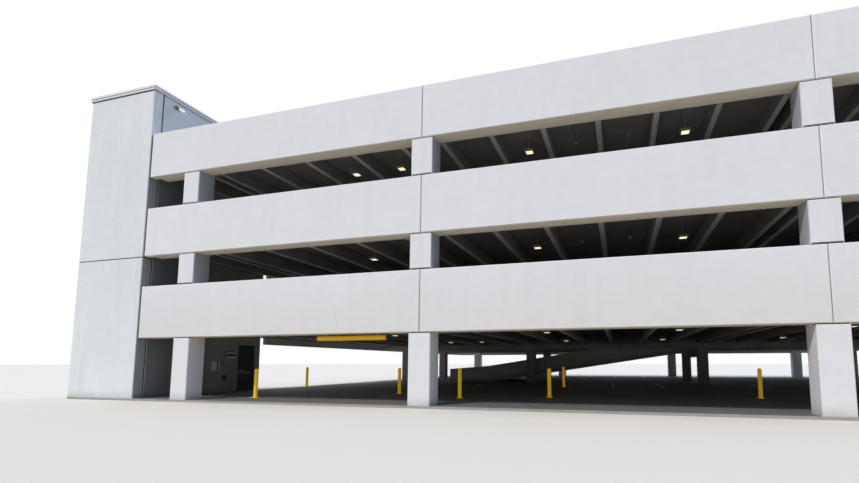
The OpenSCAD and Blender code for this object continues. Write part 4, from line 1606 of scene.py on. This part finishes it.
@dataclass
class Studio:
    """The camera, the floor, the surroundings and the lamps. The camera's angles are in radians."""

    camera_at: Point = (5.954, -13.066, 1.356)
    yaw: float = -0.2729
    pitch: float = 0.0969
    roll: float = -0.0012
    lens: float = 18.81
    sensor: float = 36.0
    shift: Flat = (-0.0746, 0.0916)
    view_end: float = 8000.0
    floor_half: float = 3000.0
    floor_seen: Colour = (0.71, 0.655, 0.58)
    floor_near: Colour = (0.60, 0.55, 0.44)
    floor_far: Colour = (0.36, 0.325, 0.26)
    floor_fade: Flat = (-10.0, -3.0)
    horizon: Colour = (0.12, 0.14, 0.17)
    zenith: Colour = (0.65, 0.88, 1.26)
    white: Colour = (1.0, 1.0, 1.0)
    key_tint: Colour = (1.0, 0.925, 0.825)
    back_tint: Colour = (0.95, 0.97, 1.0)

    def build(self) -> None:
        """Builds the camera, the floor, the surroundings and the two lamps."""
        self.camera()
        self.floor()
        self.surroundings()
        self.lamp("key_lamp", self.key_tint, strength=2.46, height=46.0, turn=-32.0, spread=2.5)
        self.lamp("back_lamp", self.back_tint, strength=0.7, height=38.0, turn=168.0, spread=12.0)

    def camera(self) -> None:
        """Builds the camera at the photograph's place and angle."""
        data = bpy.data.cameras.new("camera")
        data.lens = self.lens
        data.sensor_width = self.sensor
        data.shift_x, data.shift_y = self.shift
        data.clip_end = self.view_end
        made = link("camera", data)
        sin, cos = math.sin(self.yaw), math.cos(self.yaw)
        level = math.cos(self.pitch)
        ahead = Vector((sin * level, cos * level, math.sin(self.pitch)))
        right = Vector((cos, -sin, 0.0))
        rolled = Matrix((right, right.cross(ahead), -ahead)).transposed().to_4x4()
        rolled = rolled @ Matrix.Rotation(self.roll, 4, "Z")
        made.matrix_world = Matrix.Translation(self.camera_at) @ rolled
        bpy.context.scene.camera = made

    def floor(self) -> None:
        """Builds a plain floor, pale to the camera and darker in the light that it throws back."""
        data = bpy.data.meshes.new("studio_floor")
        half = self.floor_half
        square = [(-half, -half, 0), (half, -half, 0), (half, half, 0), (-half, half, 0)]
        data.from_pydata(square, [], [(0, 1, 2, 3)])
        material = bpy.data.materials.new("studio_floor")
        work = Surface(material)
        work.feed("Roughness", 0.95)
        work.feed("Specular IOR Level", 0.1)
        near = work.ease(work.split(work.place)[1], *self.floor_fade)
        felt = work.blend(near, self.floor_far, self.floor_near)
        work.feed("Base Color", work.blend(self.seen(work), felt, self.floor_seen))
        data.materials.append(material)
        link("studio_floor", data)

    def seen(self, graph: Graph) -> Socket:
        """Gives a mask that is one for camera, glossy and transmission rays.

        Args:
            graph: The graph that takes the nodes.

        Returns:
            The mask's socket.
        """
        rays = graph.add("ShaderNodeLightPath").outputs
        mask = graph.math("MAXIMUM", rays["Is Camera Ray"], rays["Is Glossy Ray"])
        return graph.math("MAXIMUM", mask, rays["Is Transmission Ray"])

    def surroundings(self) -> None:
        """Builds the world: white to the eye, with a bluish light on the building from above."""
        world = bpy.data.worlds.new("surroundings")
        world.use_nodes = True
        bpy.context.scene.world = world
        graph = Graph(world.node_tree)
        rise = graph.split(graph.add("ShaderNodeTexCoord").outputs["Generated"])[2]
        felt = graph.blend(graph.math("MAXIMUM", rise, 0.0), self.horizon, self.zenith)
        colour = graph.blend(self.seen(graph), felt, self.white)
        graph.fill(world.node_tree.nodes["Background"].inputs["Color"], colour)

    def lamp(
        self, name: str, tint: Colour, *, strength: float, height: float, turn: float, spread: float
    ) -> None:
        """Builds a sun-like lamp.

        Args:
            name: The lamp's name.
            tint: Its colour.
            strength: Its light on a face that looks at it.
            height: Its angle above the horizon, in degrees.
            turn: Its angle from the front towards the right, in degrees.
            spread: How wide it looks, in degrees, which softens the shadows.
        """
        data = bpy.data.lights.new(name, "SUN")
        data.energy = strength
        data.angle = math.radians(spread)
        data.color = tint
        up, around = math.radians(height), math.radians(turn)
        level = math.cos(up)
        towards = Vector((math.sin(around) * level, -math.cos(around) * level, math.sin(up)))
        made = link(name, data)
        made.rotation_mode = "QUATERNION"
        made.rotation_quaternion = towards.to_track_quat("Z", "Y")


def dress_nodes() -> None:
    """Gives every solid its finish."""
    for finish, names in NODE_FINISHES.items():
        for name in names:
            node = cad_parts[name]
            if not node.material_slots:
                node.data.materials.append(None)
            for slot in node.material_slots:
                slot.material = finish.material()
            log.info("solid %s: %s", name, finish.name)
    missing = set(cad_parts).difference(*NODE_FINISHES.values())
    if missing:
        raise ValueError(f"solids with no finish: {sorted(missing)}")


def main() -> None:
    """Builds the studio, dresses the solids and adds the small pieces."""
    logging.basicConfig(level=logging.INFO, format="%(message)s")
    bpy.context.scene.view_settings.view_transform = "Standard"
    Studio().build()
    build_effects()
    dress_nodes()
    plan = Plan.read()
    for assembly in (
        FacadeSeals, DeckSeals, BayLines, CeilingFittings, DoorTrim, WallFittings, CapTrim,
        BollardTrim, BarTrim,
    ):
        assembly(plan).build()


if __name__ == "__main__":
    main()
